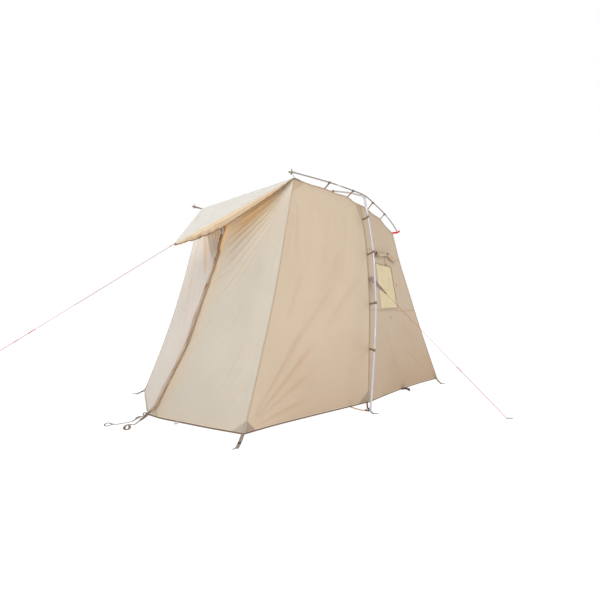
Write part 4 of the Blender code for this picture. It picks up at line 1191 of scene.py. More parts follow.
def add_rear_walls():
    for side, _ in SIDES:
        surface = on_side(rear_wall, side)
        low = set_patches("rear_patch_" + side, surface, rear_relief, "wall_patch", (
            ((0.001, 0.002), (0.016, 0.002), (0.001, 0.066)),
            ((0.955, 0.002), (0.999, 0.002), (0.999, 0.06))))
        seams = new_shape()
        for front, rear in ((0.776, 0.824), (0.468, 0.492)):
            line = steps((0.004, front), (0.996, rear), 60)
            band_on(seams, surface, rear_relief, line, SEAM_WIDE, SEAM_THICK)
        band_on(seams, surface, rear_relief, window_line(), 0.008, SEAM_THICK)
        seam = set_piece("rear_seams_" + side, seams, "rear_seam")
        lay_cloth("rear_wall_cloth_" + side, surface, rear_relief, 80, 100, "rear",
                  "side_wall_" + side + "_rear", (REAR_WIDTH, REAR_HEIGHT),
                  warp=window_warp, hole=(WINDOW_FIRST, WINDOW_LAST, WINDOW_BASE, WINDOW_HEAD),
                  painted_light_and_shade=rear_ground)
        add_window(side, surface)


def add_window(side, surface):
    """The net behind the opening, a little larger than it."""
    def place(a, b):
        return window_warp(WINDOW_FIRST + (WINDOW_LAST - WINDOW_FIRST) * (a * 1.04 - 0.02),
                           WINDOW_BASE + (WINDOW_HEAD - WINDOW_BASE) * (b * 1.04 - 0.02))

    lay_cloth("window_net_" + side, surface, lambda u, v: (rear_relief(u, v)[0] - NET_BEHIND, 0), 30, 30,
              "net", "window_" + side, (REAR_WIDTH, REAR_HEIGHT), warp=place,
              thick=NET)


# The rolled window covers

ROLL_TURNS = 3.6
ROLL_INNER = 0.006
ROLL_OUTER = 0.021
ROLL_FRONT = 0.125
ROLL_REAR = 0.76
ROLL_FLAT = (0.32, 0.62)
# From front to rear, how high the roll hangs on the wall and how thick it is
ROLL_HEIGHTS = [
    (0, 0.763), (0.17, 0.772), (0.33, 0.785), (0.48, 0.7915), (0.62, 0.7895), (0.78, 0.7905), (0.9, 0.795),
    (1, 0.8)]
ROLL_GIRTHS = [
    (0, 1.1), (0.2, 1), (0.38, 0.7), (0.48, 0.46), (0.54, 0.62), (0.64, 0.92), (0.8, 0.9), (0.92, 0.62),
    (1, 0.36)]
# Where a strap goes round the roll, and how far from its middle
ROLL_STRAPS = ((0.47, 0.0125), (0.05, 0.0235))
HANGING_STRAP_U = 0.385
HANGING_STRAP_HEIGHTS = (0.784, 0.765, 0.745, 0.732)
# The roll's toggle and button, by how far along them and the radius there
TOGGLE_MARKS = (
    (-0.018, 0.003), (-0.016, 0.007), (-0.006, 0.006), (0.006, 0.006), (0.016, 0.007), (0.018, 0.003))
BUTTON_MARKS = ((-0.004, 0.008), (0, 0.009), (0.004, 0.008), (0.006, 0.004))
# The bar tacks on the rear wall, as u, v and half size, the larger ones with a toggle
BAR_TACKS = (
    (0.393, 0.732, 0.012), (0.44, 0.744, 0.008), (0.136, 0.75, 0.012), (0.647, 0.644, 0.008),
    (0.384, 0.435, 0.009), (0.73, 0.465, 0.007))


def roll_middle(t):
    """The middle line of the roll from front to rear."""
    u = ROLL_FRONT + (ROLL_REAR - ROLL_FRONT) * t
    v = stepped(t, ROLL_HEIGHTS)
    way = outward(rear_wall, u, v)
    return rear_wall(u, v) + way * (ROLL_OUTER + 0.003), way


def roll_frame(t):
    """The roll's middle, with the ways out of the wall and up it."""
    centre, way = roll_middle(t)
    ahead = heading(lambda share: roll_middle(share)[0], t, 0.02)
    return centre, way, ahead.cross(way).normalized()


def add_roll_cloth(side, sign):
    """The rolled cover, warmer and paler under its rear half: painted shade and painted light."""
    bm = new_shape()
    warm_shade_and_light, painted_light_and_shade = tints(bm)

    def place(a, b):
        t = 0.01 + 0.98 * b
        centre, way, top = roll_frame(t)
        angle = a * ROLL_TURNS * 2 * pi
        loose = 1 + 0.14 * waver(a * 9, b * 11, 7) + 0.05 * sin(b * 60 + a * 5)
        radius = (ROLL_INNER + (ROLL_OUTER - ROLL_INNER) * a) * stepped(t, ROLL_GIRTHS) * loose
        return flip(centre + way * cos(angle) * radius + top * sin(angle) * radius * 0.92, sign)

    shares = grid_on(bm, 90, 84, place, lambda a, b: (a * ROLL_FLAT[0], b * ROLL_FLAT[1]))
    for vert, (a, b) in shares.items():
        # Painted shade on the underside of the rear half, with painted light lifting it.
        under = 0.5 - 0.5 * sin(a * ROLL_TURNS * 2 * pi)
        rear = soft((b - 0.46) / 0.06)
        vert[warm_shade_and_light] = min(1, 0.12 + 1.1 * soft((under - 0.25) / 0.5) * rear)
        vert[painted_light_and_shade] = 0.15 * under * rear
    return set_cloth("window_roll_cloth_" + side, bm, "roll", ROLLED_CANVAS, 0, node="window_roll_" + side)


def add_roll_straps(side, sign):
    """The straps round the roll, and the one that hangs over the window's edge."""
    bm = new_shape()
    for t, reach in ROLL_STRAPS:
        centre, way, top = roll_frame(t)
        ring = [centre + way * cos(k * pi / 9) * reach + top * sin(k * pi / 9) * reach
                for k in range(-10, 10)]
        draw_along(bm, ring, [(point - centre).normalized() for point in ring], FLAT, 0.005, 0.0009, sign)
    u = HANGING_STRAP_U
    hanging = [rear_wall(u, v) + outward(rear_wall, u, v) * 0.006 for v in HANGING_STRAP_HEIGHTS]
    draw_along(bm, hanging, outward(rear_wall, u, 0.74), FLAT, 0.0045, 0.0009, sign)
    return set_piece("roll_straps_" + side, bm, "tan")


def add_roll_toggles(side, sign):
    """The roll's toggle, beaded at its ends, and a button in front of the window."""
    bm = new_shape()
    centre, way = roll_middle(0.44)
    across = outward(rear_wall, HANGING_STRAP_U, 0.76).cross(UP).normalized()
    out = outward(rear_wall, 0.1, 0.745)
    for spot, line, marks in ((centre + way * 0.016 + UP * 0.012, across, TOGGLE_MARKS),
                              (rear_wall(0.1, 0.745) + out * 0.006, out, BUTTON_MARKS)):
        radii = [radius for _, radius in marks]
        draw_along(bm, [spot + line * far for far, _ in marks], UP, ROUND, radii, radii, sign)
    return set_piece("roll_toggles_" + side, bm, "olive")


def add_bar_tacks(side, sign):
    """The square bar tacks that hold the cover's straps and toggles."""
    bm = new_shape()
    for u, v, half in BAR_TACKS:
        way = outward(rear_wall, u, v)
        spot = rear_wall(u, v) + way * 0.004
        marks = [spot + UP * (k * half) for k in (-1, -0.5, 0.5, 1)]
        draw_along(bm, marks, way, FLAT, half * 0.7, 0.0012, sign)
        if half > 0.009:
            across = way.cross(UP).normalized()
            turned(bm, spot, across, ((-0.008, 0.004), (0, 0.005), (0.008, 0.004)), sign)
    set_piece("rear_bartacks_" + side, bm, "mark")


def add_window_rolls():
    for side, sign in SIDES:
        cloth = add_roll_cloth(side, sign)
        straps = add_roll_straps(side, sign)
        toggles = add_roll_toggles(side, sign)
        add_bar_tacks(side, sign)


# The roof and the canopy

ROOF_FRONT_SIZE = (1.9, 0.85)
ROOF_REAR_SIZE = (1.8, 0.95)
CANOPY_SIZE = (1.4, 1)
roof_front_relief = folds(*ROOF_FRONT_SIZE, [
    (0.04, 0.06, 0.4, 0.5, 0.012, 0.03, 0.005, 0.14),
    (0.96, 0.06, 0.6, 0.5, 0.012, 0.03, 0.005, 0.14),
    (0.5, 0.96, 0.5, 0.3, 0.02, 0.04, 0.004, 0.1),
    (0.2, 0.96, 0.25, 0.4, 0.02, 0.04, 0.004, 0.1),
    (0.8, 0.96, 0.75, 0.4, 0.02, 0.04, 0.004, 0.1)], swell=0.007, seed=11)
roof_rear_relief = folds(*ROOF_REAR_SIZE, [
    (0.05, 0.96, 0.36, 0.46, 0.012, 0.032, 0.006, 0.16),
    (0.95, 0.96, 0.64, 0.46, 0.012, 0.032, 0.006, 0.16),
    (0.35, 0.04, 0.4, 0.6, 0.02, 0.04, 0.004, 0.1),
    (0.65, 0.04, 0.6, 0.6, 0.02, 0.04, 0.004, 0.1)], swell=0.008, seed=12)
canopy_relief = folds(*CANOPY_SIZE, [
    (0.01, 0.02, 0.7, 0.34, 0.01, 0.03, 0.004, 0.16),
    (0.99, 0.02, 0.3, 0.34, 0.01, 0.03, 0.004, 0.16),
    (0.02, 0.06, 0.2, 0.7, 0.01, 0.026, 0.004, 0.18),
    (0.98, 0.06, 0.8, 0.7, 0.01, 0.026, 0.004, 0.18),
    (0.5, 0.98, 0.48, 0.3, 0.01, 0.04, 0.004, 0.1),
    (0.35, 0.1, 0.45, 0.7, 0.02, 0.03, 0.003, 0.08)], swell=0.005, seed=13)


def add_roof():
    lay_cloth("roof_front_cloth", front_roof, roof_front_relief, 110, 46, "roof", "roof_front",
              ROOF_FRONT_SIZE)
    lay_cloth("roof_rear_cloth", rear_roof, roof_rear_relief, 110, 50, "roof", "roof_rear",
              ROOF_REAR_SIZE)


def canopy_front(u):
    return Vector((CANOPY_TIP.x * (2 * u - 1), CANOPY_TIP.y, CANOPY_TIP.z)) + ROOF_EDGE_UP * CANOPY_LIFT


VALANCE_FLAT = (1.27, 0.095)
VALANCE_COLUMNS = 170
VALANCE_IN = Vector((-0.9, 0.45, 0)).normalized()
# How far the valance hangs down, from the roof corner to the tip
VALANCE_DROPS = [
    (0, 0.002), (0.06, 0.012), (0.12, 0.028), (0.178, 0.041), (0.26, 0.052), (0.348, 0.062), (0.44, 0.075),
    (0.53, 0.088), (0.62, 0.093), (0.7, 0.085), (0.78, 0.076), (0.85, 0.06), (0.91, 0.042), (0.965, 0.028),
    (1, 0.016)]


def valance_drop(t):
    """How far the valance hangs there, with the waves of its hem."""
    near = (stepped(max(t - 0.02, 0), VALANCE_DROPS), stepped(t, VALANCE_DROPS),
            stepped(min(t + 0.02, 1), VALANCE_DROPS))
    wave = 0.0035 * sin(t * 47) * soft((t - 0.55) / 0.1) + 0.0022 * sin(t * 103 + 1)
    return sum(near) / 3 + wave * soft((1 - t) / 0.05)


def valance_place(t, b):
    """A point of the right valance: t runs from roof corner to tip, b from the hem up."""
    drop = valance_drop(t) * (1 - b)
    curl = 0.35 * drop * drop / 0.09
    crumple = waver(t * 26, b * 2.2, 3) * 0.012 * soft((t - 0.5) / 0.2) * (1 - b)
    small = waver(t * 70, b * 5, 9) * 0.004 * (1 - b)
    bulge = (0.006 * sin(pi * b) + 0.0035 * sin(3.4 * pi * b + 3 * t)) * soft(t / 0.2)
    return canopy_edge(t) - UP * drop + VALANCE_IN * (curl - bulge + crumple + small)


def valance_hem_tall(t):
    """The binding is thicker where it bunches near the tip."""
    bunched = 0.0016 * soft((t - 0.56) / 0.06) * soft((0.86 - t) / 0.06)
    return 0.003 + bunched + 0.001 * soft((t - 0.82) / 0.05) + 0.0008 * sin(t * VALANCE_COLUMNS * 0.9)


def add_canopy():
    surface = spanned(canopy_back, canopy_front, mirrored(canopy_edge), canopy_edge)
    lay_cloth("canopy_cloth", surface, canopy_relief, 90, 70, "canopy", "canopy",
              CANOPY_SIZE)
    for side, sign in SIDES:
        add_valance(side, sign)


def add_valance(side, sign):
    """The hanging edge of the canopy, crumpled towards the tip, with its binding."""
    bm = new_shape()
    warm_shade_and_light, painted_light_and_shade = tints(bm)
    shares = grid_on(bm, VALANCE_COLUMNS, 16, lambda a, b: flip(valance_place(a, b), sign),
                     lambda a, b: (a * VALANCE_FLAT[0], b * 0.09))
    # Painted shade in the crumples, along a crease and down at the hem; painted light near the top and
    # painted shade near the hem.
    for vert, (a, b) in shares.items():
        creased = max(0, waver(a * 26, b * 2.2, 3)) * soft((a - 0.5) / 0.2)
        along = exp(-((b - 0.46 - 0.1 * a) / 0.07) ** 2) * (0.6 + waver(a * 9, 1, 7))
        vert[warm_shade_and_light] = min(1, 0.7 * (1 - b) ** 6 + 1.2 * creased * (1 - b) + 0.34 * max(0, along))
        vert[painted_light_and_shade] = 0.05 * soft((b - 0.72) / 0.28) - 0.04 * soft((0.4 - b) / 0.4)
    turn_towards(bm, shares, Vector((sign, 0, 0)))
    piece = set_cloth("valance_cloth_" + side, bm, "valance", THIN_CANVAS, node="canopy_valance_" + side)
    # The binding's dark tone is partly painted shadow under the valance's edge.
    hem = new_shape()
    marks = [k / VALANCE_COLUMNS for k in range(VALANCE_COLUMNS + 1)]
    draw_along(hem, [valance_place(t, 0) for t in marks], UP, ROUND, 0.0026,
               [valance_hem_tall(t) for t in marks], sign)
    low_hem = set_piece("valance_hem_" + side, hem, "valance_hem")


# Hems and seams

HEM_TALL = 0.0115
STITCH_LINE = 0.006
# Half the hem's height as a share of a cloth's
HEM_SHARE = HEM_TALL / 2 / 2.1
# How far along the roof's side edge the hoop crosses it
HOOP_SHARE = 0.46


def add_hems():
    """The dark binding along the lower edges, with a pale stitched line above it."""
    for side, _ in SIDES:
        low = new_shape()
        far_low = new_shape()
        pale = new_shape()
        cloths = ((front_panel, FRONT_RELIEF[side]), (front_wall, wall_relief), (rear_wall, rear_relief))
        for surface, relief in cloths:
            cloth = on_side(surface, side)
            far = side == "left" and surface is front_panel
            band_on(far_low if far else low, cloth, relief, steps((0, HEM_SHARE), (1, HEM_SHARE), 90),
                    HEM_TALL, 0.0024)
            above = 2.6 * HEM_SHARE
            band_on(pale, cloth, relief, steps((0, above), (1, above), 90), STITCH_LINE, 0.0012)
        set_piece("hem_binding_" + side, low, "hem")
        if side == "left":
            set_piece("hem_binding_left_front", far_low, "grey")
        else:
            far_low.free()
        set_piece("hem_stitch_line_" + side, pale, "pale")


def both_ways(first, second, u_first, u_second, v):
    """The way out of a seam, halfway between those of its two cloths."""
    return (outward(first, u_first, v) + outward(second, u_second, v)).normalized()


def seam_along(bm, line, ways, count, width, thick, lift, low=0, high=1, aside=0):
    """A narrow band up a seam, moved aside along the cloth."""
    spots = []
    ups = []
    for k in range(count + 1):
        t = low + (high - low) * k / count
        way = ways(t)
        ahead = heading(line, t, 0.005)
        spots.append(line(t) + way * (thick / 2 + lift) + ahead.cross(way).normalized() * aside)
        ups.append(way)
    draw_along(bm, spots, ups, FLAT, width / 2, thick / 2)


def corner_way(v):
    return both_ways(front_panel, front_wall, 1, 0, v)


def hoop_way(v):
    return both_ways(front_wall, rear_wall, 1, 0, v)


def rear_way(v):
    return outward(rear_wall, 1, v)


def roof_side(t):
    """The upper side edge from the front corner to the rear one."""
    if t < HOOP_SHARE:
        return roof_side_front(t / HOOP_SHARE)
    return roof_side_rear((t - HOOP_SHARE) / (1 - HOOP_SHARE))


def roof_side_way(t):
    if t < HOOP_SHARE:
        share = t / HOOP_SHARE
        return (outward(front_wall, share, 1) + outward(front_roof, 1, share)).normalized()
    share = (t - HOOP_SHARE) / (1 - HOOP_SHARE)
    return (outward(rear_wall, share, 1) + outward(rear_roof, 1, share)).normalized()


over_hoop = across_roof(roof_hoop_half)


def over_hoop_way(t):
    return (outward(front_roof, t, 1) + outward(rear_roof, t, 0)).normalized()


def add_seams():
    """The seams at the corners, and the webbing at the foot of the front ones."""
    for side, sign in SIDES:
        seams = new_shape()
        seam_along(seams, corner_seam, corner_way, 90, 0.0052, 0.002, -0.0006)
        seam_along(seams, rear_edge, rear_way, 80, 0.012, 0.003, -0.001, aside=0.004)
        set_piece("corner_seam_" + side, seams, "seam", sign=sign)
        webbing = new_shape()
        top = 0.038 if side == "right" else 0.012
        seam_along(webbing, corner_seam, corner_way, 12, 0.022, 0.0024, 0.0006, 0.006, top)
        set_piece("corner_webbing_" + side, webbing, "grey", sign=sign)


# Poles

# A rod's closed end, as shares of its radius
END_REACH = 0.35
END_NARROW = 0.72
# Where the ferrules sit, as shares of the hoop's half and of the side pole
HOOP_FERRULES = (0.235, 0.45)
SIDE_FERRULES = (0.26, 0.72)


def share_at(line, test):
    """The fraction along a line where the test first holds."""
    low, high = 0, 1
    for _ in range(30):
        middle = (low + high) / 2
        if test(line(middle)):
            high = middle
        else:
            low = middle
    return high


def run_of(line, start, end, count):
    return [line(start + (end - start) * k / count) for k in range(count + 1)]


def length_of(line):
    points = run_of(line, 0, 1, 300)
    return sum((second - first).length for first, second in zip(points, points[1:]))


def rod(bm, points, radius, sign=1):
    """A round rod through the points, with softly closed ends."""
    points = [flip(point, sign) for point in points]
    radii = listed(radius, len(points))
    first = (points[0] - points[1]).normalized()
    last = (points[-1] - points[-2]).normalized()
    tips = (points[0] + first * radii[0] * END_REACH, points[-1] + last * radii[-1] * END_REACH)
    points = [tips[0], *points, tips[1]]
    radii = [radii[0] * END_NARROW, *radii, radii[-1] * END_NARROW]
    along = points[-1] - points[0]
    up = Vector((0, 1, 0)) if abs(along.normalized().y) < 0.8 else Vector((1, 0, 0))
    draw_along(bm, points, up, ROUND, radii, radii)


def turned(bm, centre, way, marks, sign=1):
    """A turned piece; each mark is how far along it is and its radius there."""
    rod(bm, [centre + way * far for far, _ in marks], [radius for _, radius in marks], sign)


def ferrule(bm, line, share, length, radius, reach, sign=1):
    half = reach / 2 / length
    radii = [radius * 0.94, radius, radius, radius, radius * 0.94]
    rod(bm, run_of(line, share - half, share + half, 4), radii, sign)


HOOP_LENGTH = length_of(hoop_half)
SIDE_LENGTH = length_of(side_pole)
CROSS_SHARE = share_at(hoop_half, lambda point: point.z > CROSS_Z)
LEG_END = CROSS_SHARE - HUB_BELOW / HOOP_LENGTH
ARCH_START = CROSS_SHARE + HUB_ABOVE / HOOP_LENGTH


def add_hoop_leg(side, sign):
    """One leg of the hoop with its ferrules and its foot."""
    leg = new_shape()
    rod(leg, run_of(hoop_half, 0.006, LEG_END + 0.01, 120), HOOP_RADIUS, sign)
    set_piece("hoop_leg_pole_" + side, leg, "hoop", "hoop_leg_" + side)
    collars = new_shape()
    for share in HOOP_FERRULES:
        ferrule(collars, hoop_half, share, HOOP_LENGTH, HOOP_RADIUS + 0.0008, 0.07, sign)
    ferrule(collars, hoop_half, LEG_END - 0.012, HOOP_LENGTH, HOOP_RADIUS + 0.001, 0.06, sign)
    set_piece("hoop_ferrules_" + side, collars, "ferrule")
    foot = new_shape()
    rod(foot, run_of(hoop_half, 0.002, 0.012, 3), [0.0114, 0.0112, 0.0108, 0.0104], sign)
    set_piece("hoop_foot_" + side, foot, "hoop")


def add_sleeve(side, sign):
    """The white sleeve at the shoulder, with a ring near each end."""
    bm = new_shape()
    points = run_of(hoop_half, LEG_END, ARCH_START, 16)
    rod(bm, points, [0.0112, 0.0122] + [HUB_RADIUS] * 13 + [0.0125, 0.0112], sign)
    for k in (2, 14):
        rod(bm, [points[k].lerp(points[k + 1], share) for share in (0, 0.5, 1)],
            [HUB_RADIUS + 0.0008, HUB_RADIUS + 0.0012, HUB_RADIUS + 0.0008], sign)
    set_piece("pole_sleeve_" + side, bm, "sleeve", "pole_hub_" + side)


def add_side_pole(side, sign):
    """The slim pole along the roof's side edge, with its fittings."""
    slim = new_shape()
    rod(slim, run_of(side_pole, 0, 1, 110), SIDE_POLE_RADIUS, sign)
    set_piece("side_pole_rod_" + side, slim, "side", "side_pole_" + side)
    collars = new_shape()
    for share in SIDE_FERRULES:
        ferrule(collars, side_pole, share, SIDE_LENGTH, SIDE_POLE_RADIUS + 0.0007, 0.055, sign)
    set_piece("side_ferrules_" + side, collars, "ferrule")
    add_pole_tip(side, sign)
    cap = new_shape()
    rod(cap, run_of(side_pole, 0.982, 1, 4), [0.0068, 0.007, 0.007, 0.007, 0.0062], sign)
    set_piece("pole_end_cap_" + side, cap, "tip")


def add_arch():
    arch = new_shape()
    half = run_of(hoop_half, ARCH_START - 0.006, 1, 60)
    rod(arch, half + [flip(point, -1) for point in reversed(half[:-1])], HOOP_RADIUS)
    set_piece("roof_arch_pole", arch, "arch", "roof_arch")
    middle = new_shape()
    turned(middle, ARCH_TOP, Vector((1, 0, 0)),
           ((-0.035, 0.0094), (-0.02, 0.01), (0, 0.01), (0.02, 0.01), (0.035, 0.0094)))
    set_piece("arch_ferrule", middle, "ferrule")


def add_poles():
    for side, sign in SIDES:
        add_hoop_leg(side, sign)
        add_sleeve(side, sign)
        add_side_pole(side, sign)
    add_arch()


def add_pole_tip(side, sign):
    """A side pole's moulded end: a post, a block, and a bar that droops to a knob."""
    end = side_pole(0)
    along = (side_pole(0.01) - end).normalized()
    centre = end - along * 0.0055
    droop = (-along + Vector((0, 0, -0.3))).normalized()
    bm = new_shape()
    turned(bm, centre, UP, ((-0.018, 0.0046), (-0.012, 0.0056), (0, 0.006), (0.012, 0.0052),
                            (0.022, 0.0044), (0.027, 0.003)), sign)
    turned(bm, end, along, ((-0.004, 0.0074), (0.01, 0.0076), (0.03, 0.0066)), sign)
    turned(bm, centre, droop, ((0, 0.0056), (0.01, 0.0046), (0.021, 0.004)), sign)
    set_piece("pole_tip_cross_" + side, bm, "tip", "pole_tip_" + side)
    knob = new_shape()
    turned(knob, centre, droop, ((0.019, 0.0052), (0.022, 0.0078), (0.027, 0.0076), (0.031, 0.005)), sign)
    low = centre - UP * 0.012 + droop * 0.005
    turned(knob, low, UP, ((-0.01, 0.006), (-0.004, 0.0074), (0.004, 0.0074), (0.01, 0.0058)), sign)
    set_piece("pole_tip_knob_" + side, knob, "clip")


# Seam tapes with the straps and clips that hold the cloth to the poles


def strap_between(bm, start, end, upward, width, thick, sign):
    draw_along(bm, [start.lerp(end, k / 8) for k in range(9)], upward, FLAT, width / 2, thick / 2, sign)


def clip_on(bm, strap_bm, pole, share, radius, start, sign, width, length):
    """A moulded hook round a pole and its strap from the cloth."""
    point = pole(share)
    along = heading(pole, share, 0.004)
    back = start - point
    back = (back - along * back.dot(along)).normalized()
    face = along.cross(back)
    half = length / 2
    turned(bm, point, along, ((-half, radius + 0.0022), (-half * 0.8, radius + 0.0034),
                              (half * 0.8, radius + 0.0034), (half, radius + 0.0022)), sign)
    near = point + back * (radius + 0.002)
    block = point + back * (radius + 0.01)
    draw_along(bm, [near, near.lerp(block, 0.6), block], face, FLAT,
               [width * 0.55, width * 0.6, width * 0.5], [0.0042, 0.004, 0.0026], sign)
    strap_between(strap_bm, start, block - back * 0.003, face.normalized(), width, 0.0018, sign)


# The heights of the straps on the hoop seam, and how much higher each one's hook sits on the pole
HOOP_CLIPS = [(0.545, 0.022), (1, 0.015), (1.5, 0.006), (1.862, -0.002)]
# How far back the straps to the side pole are, and how far across the roof those to the arch
SIDE_STRAP_YS = [0.962, 1.256, 1.6, 1.885]
ARCH_STRAPS = [0.207, 0.4, 0.6, 0.793]
HOOP_LINE = 0.0026


def add_hoop_tapes():
    """The tape and stitched lines down the hoop seam, and its straps to the hoop."""
    for side, sign in SIDES:
        lines = new_shape()
        seam_along(lines, hoop_seam, hoop_way, 100, HOOP_LINE, 0.0022, 0, high=0.985)
        seam_along(lines, hoop_seam, hoop_way, 100, HOOP_LINE, 0.0024, 0, high=0.985, aside=-0.0175)
        tape = new_shape()
        seam_along(tape, hoop_seam, hoop_way, 100, 0.019, 0.0014, -0.0002, high=0.99, aside=-0.0085)
        clips = new_shape()
        straps = new_shape()
        for height, above in HOOP_CLIPS:
            seam = share_at(hoop_seam, lambda point: point.z > height)
            start = hoop_seam(seam) + hoop_way(seam) * 0.001
            share = share_at(hoop_half, lambda point: point.z > height + above)
            clip_on(clips, straps, hoop_half, share, HOOP_RADIUS, start, sign, 0.02, 0.02)
        set_piece("hoop_seam_lines_" + side, lines, "seam_line", sign=sign)
        set_piece("hoop_seam_tape_" + side, tape, "wall_seam", sign=sign)
        set_piece("hoop_straps_" + side, straps, "brown", "hoop_clip_tape_" + side)
        set_piece("hoop_clips_" + side, clips, "clip")


def add_roof_tapes():
    """The tape along the roof's side edge, with its straps to the side pole."""
    for side, sign in SIDES:
        tape = new_shape()
        seam_along(tape, roof_side, roof_side_way, 110, 0.008, 0.0026, -0.0006)
        clips = new_shape()
        straps = new_shape()
        for y in SIDE_STRAP_YS:
            seam = share_at(roof_side, lambda point: point.y > y)
            start = roof_side(seam) - UP * 0.004
            share = share_at(side_pole, lambda point: point.y > y + 0.008)
            clip_on(clips, straps, side_pole, share, SIDE_POLE_RADIUS, start, sign, 0.017, 0.022)
        end = side_pole(0) - Vector((0, 0.002, 0.014))
        strap_between(straps, roof_side(0.004), end, Vector((0, 1, 0)), 0.008, 0.0016, sign)
        wedge = new_shape()
        seam_along(wedge, roof_side, roof_side_way, 12, 0.014, 0.0034, -0.0004, 0, 0.036)
        set_piece("roof_side_tape_" + side, tape, "flap_tape", sign=sign)
        set_piece("roof_corner_webbing_" + side, wedge, "brown", sign=sign)
        set_piece("roof_straps_" + side, straps, "brown", "roof_strap_tape_" + side)
        set_piece("roof_clips_" + side, clips, "clip")


def add_arch_tape():
    """The tape of the roof's middle seam with its straps up to the arch."""
    tape = new_shape()
    seam_along(tape, over_hoop, over_hoop_way, 120, 0.012, 0.0018, -0.0006, 0.02, 0.98)
    clips = new_shape()
    straps = new_shape()
    for place in ARCH_STRAPS:
        start = over_hoop(place) + over_hoop_way(place) * 0.001
        sign = 1 if start.x > 0 else -1
        near = flip(start, sign)
        share = share_at(hoop_half, lambda point: point.z > SHOULDER[2] and point.x < near.x)
        clip_on(clips, straps, hoop_half, share, HOOP_RADIUS, near, sign, 0.018, 0.022)
    set_piece("arch_seam_tape", tape, "wall_seam")
    set_piece("arch_straps", straps, "brown", "roof_arch_tape")
    set_piece("arch_clips", clips, "clip")


def add_rear_straps():
    """The red webbing from each rear roof corner to its pole's end."""
    start = roof_side_rear(1)
    pole = side_pole(0.99)
    way = (pole - start).normalized()
    face = way.cross(UP).normalized()
    drop = UP * -0.008
    line = line_through(
        start + Vector((0, 0.002, 0)), start.lerp(pole, 0.4) + drop * 0.4, pole - way * 0.012 + drop * 0.6,
        pole + way * 0.006 + drop * 0.3, pole + way * 0.024 - drop * 0.3, pole + way * 0.042 - drop * 1.2)
    for side, sign in SIDES:
        bm = new_shape()
        draw_along(bm, run_of(line, 0, 1, 20), face, FLAT, 0.0112, [0.0016] * 12 + [0.0022] * 9, sign)
        set_piece("red_strap_" + side, bm, "red", "rear_strap_" + side)


# Ground straps and pegs

STRAP_CLEAR = 0.0006
PEG_RADIUS = 0.0042
PEG_RISE = 0.01
PEG_REACH = 0.038
PEG_BEND = 0.006


def lay_strap(bm, route, width, thick, count):
    """Webbing on the ground along a smooth route of x, y and lift."""
    line = line_through(*[(x, y, GROUND + thick / 2 + STRAP_CLEAR + lift) for x, y, lift in route])
    halves = [at(width, k / count) / 2 for k in range(count + 1)]
    draw_along(bm, run_of(line, 0, 1, count), UP, FLAT, halves, thick / 2)


def over_to_left(route):
    return [(-x, y, lift) for x, y, lift in route]


def ladder_buckle(bm, centre, along, long, wide):
    """A flat ladder buckle: two rails and four bars."""
    across = along.cross(UP).normalized()
    for sign in (1, -1):
        rail = centre + across * sign * wide / 2
        rod(bm, [rail + along * long * k for k in (-0.5, -0.25, 0, 0.25, 0.5)], 0.0019)
    for k in (-0.5, -0.17, 0.17, 0.5):
        rod(bm, [centre + along * long * k + across * wide * j for j in (-0.5, 0, 0.5)], 0.0021)


def bend_peg(bm, foot, arm):
    """A driven peg's head: up out of the ground, round a bend and along its arm."""
    arm = arm.normalized()
    low = PEG_RISE - PEG_BEND
    path = [foot, foot + UP * (low / 2), foot + UP * low]
    for angle in (15, 30, 45, 60, 75, 90):
        turn = radians(angle)
        path.append(foot + arm * (1 - cos(turn)) * PEG_BEND + UP * (low + sin(turn) * PEG_BEND))
    bent = path[-1]
    path += [bent + arm * PEG_REACH * k / 6 for k in range(1, 7)]
    rod(bm, path, [PEG_RADIUS] * (len(path) - 2) + [PEG_RADIUS * 0.95, PEG_RADIUS * 0.8])


# Routes of webbing on the ground, as x, y and lift
FRONT_RIGHT_ROUTE = [
    (1.03, 0.012, 0.012), (1.058, -0.018, 0.003), (1.114, -0.065, 0.001), (1.198, -0.136, 0.001),
    (1.264, -0.197, 0)]
FRONT_LEFT_ROUTE = [
    (-1.034, 0.004, 0.01), (-1.006, -0.04, 0.002), (-0.962, -0.092, 0.001), (-0.917, -0.134, 0)]
REAR_ROUTE = [(0.73, 3.203, 0.01), (0.766, 3.17, 0.002), (0.846, 3.076, 0.001), (0.963, 2.948, 0)]
SIDE_ROUTE = [(1.232, 1.29, 0.004), (1.262, 1.272, 0.001), (1.288, 1.257, 0), (1.312, 1.242, 0)]
CROSS_ROUTE_HALF = [
    (1.2196, 1.287, 0.001), (1.176, 1.263, 0.001), (1.08, 1.258, 0), (0.98, 1.27, 0), (0.8, 1.284, 0),
    (0.4, 1.292, 0)]
FOOT_ROUTE = [
    (1.004, 1.512, 0.014), (1.04, 1.468, 0.006), (1.098, 1.404, 0.003), (1.15, 1.348, 0.003),
    (1.19, 1.318, 0.004)]
HEM_TAB_ROUTE = [(0.83, 2.3, 0.002), (0.846, 2.35, 0.002), (0.895, 2.356, 0.001), (0.94, 2.318, 0)]
DOOR_LEFT_ROUTE = [
    (-0.042, -0.336, 0.012), (-0.02, -0.362, 0.004), (0.008, -0.396, 0.002), (0.034, -0.443, 0.004),
    (0.065, -0.481, 0.006), (0.094, -0.513, 0.003), (0.113, -0.534, 0.001), (0.116, -0.56, 0),
    (0.118, -0.607, 0), (0.117, -0.649, 0.001), (0.108, -0.681, 0.002), (0.08, -0.7, 0.004),
    (0.036, -0.712, 0.003), (0.032, -0.73, 0.001), (0.07, -0.753, 0.001), (0.112, -0.75, 0.002),
    (0.122, -0.728, 0.005), (0.116, -0.696, 0.0075)]
DOOR_HOOK_ROUTE = [
    (-0.04, -0.343, 0.012), (-0.054, -0.354, 0.01), (-0.068, -0.364, 0.008), (-0.05, -0.38, 0.007),
    (-0.014, -0.394, 0.006)]
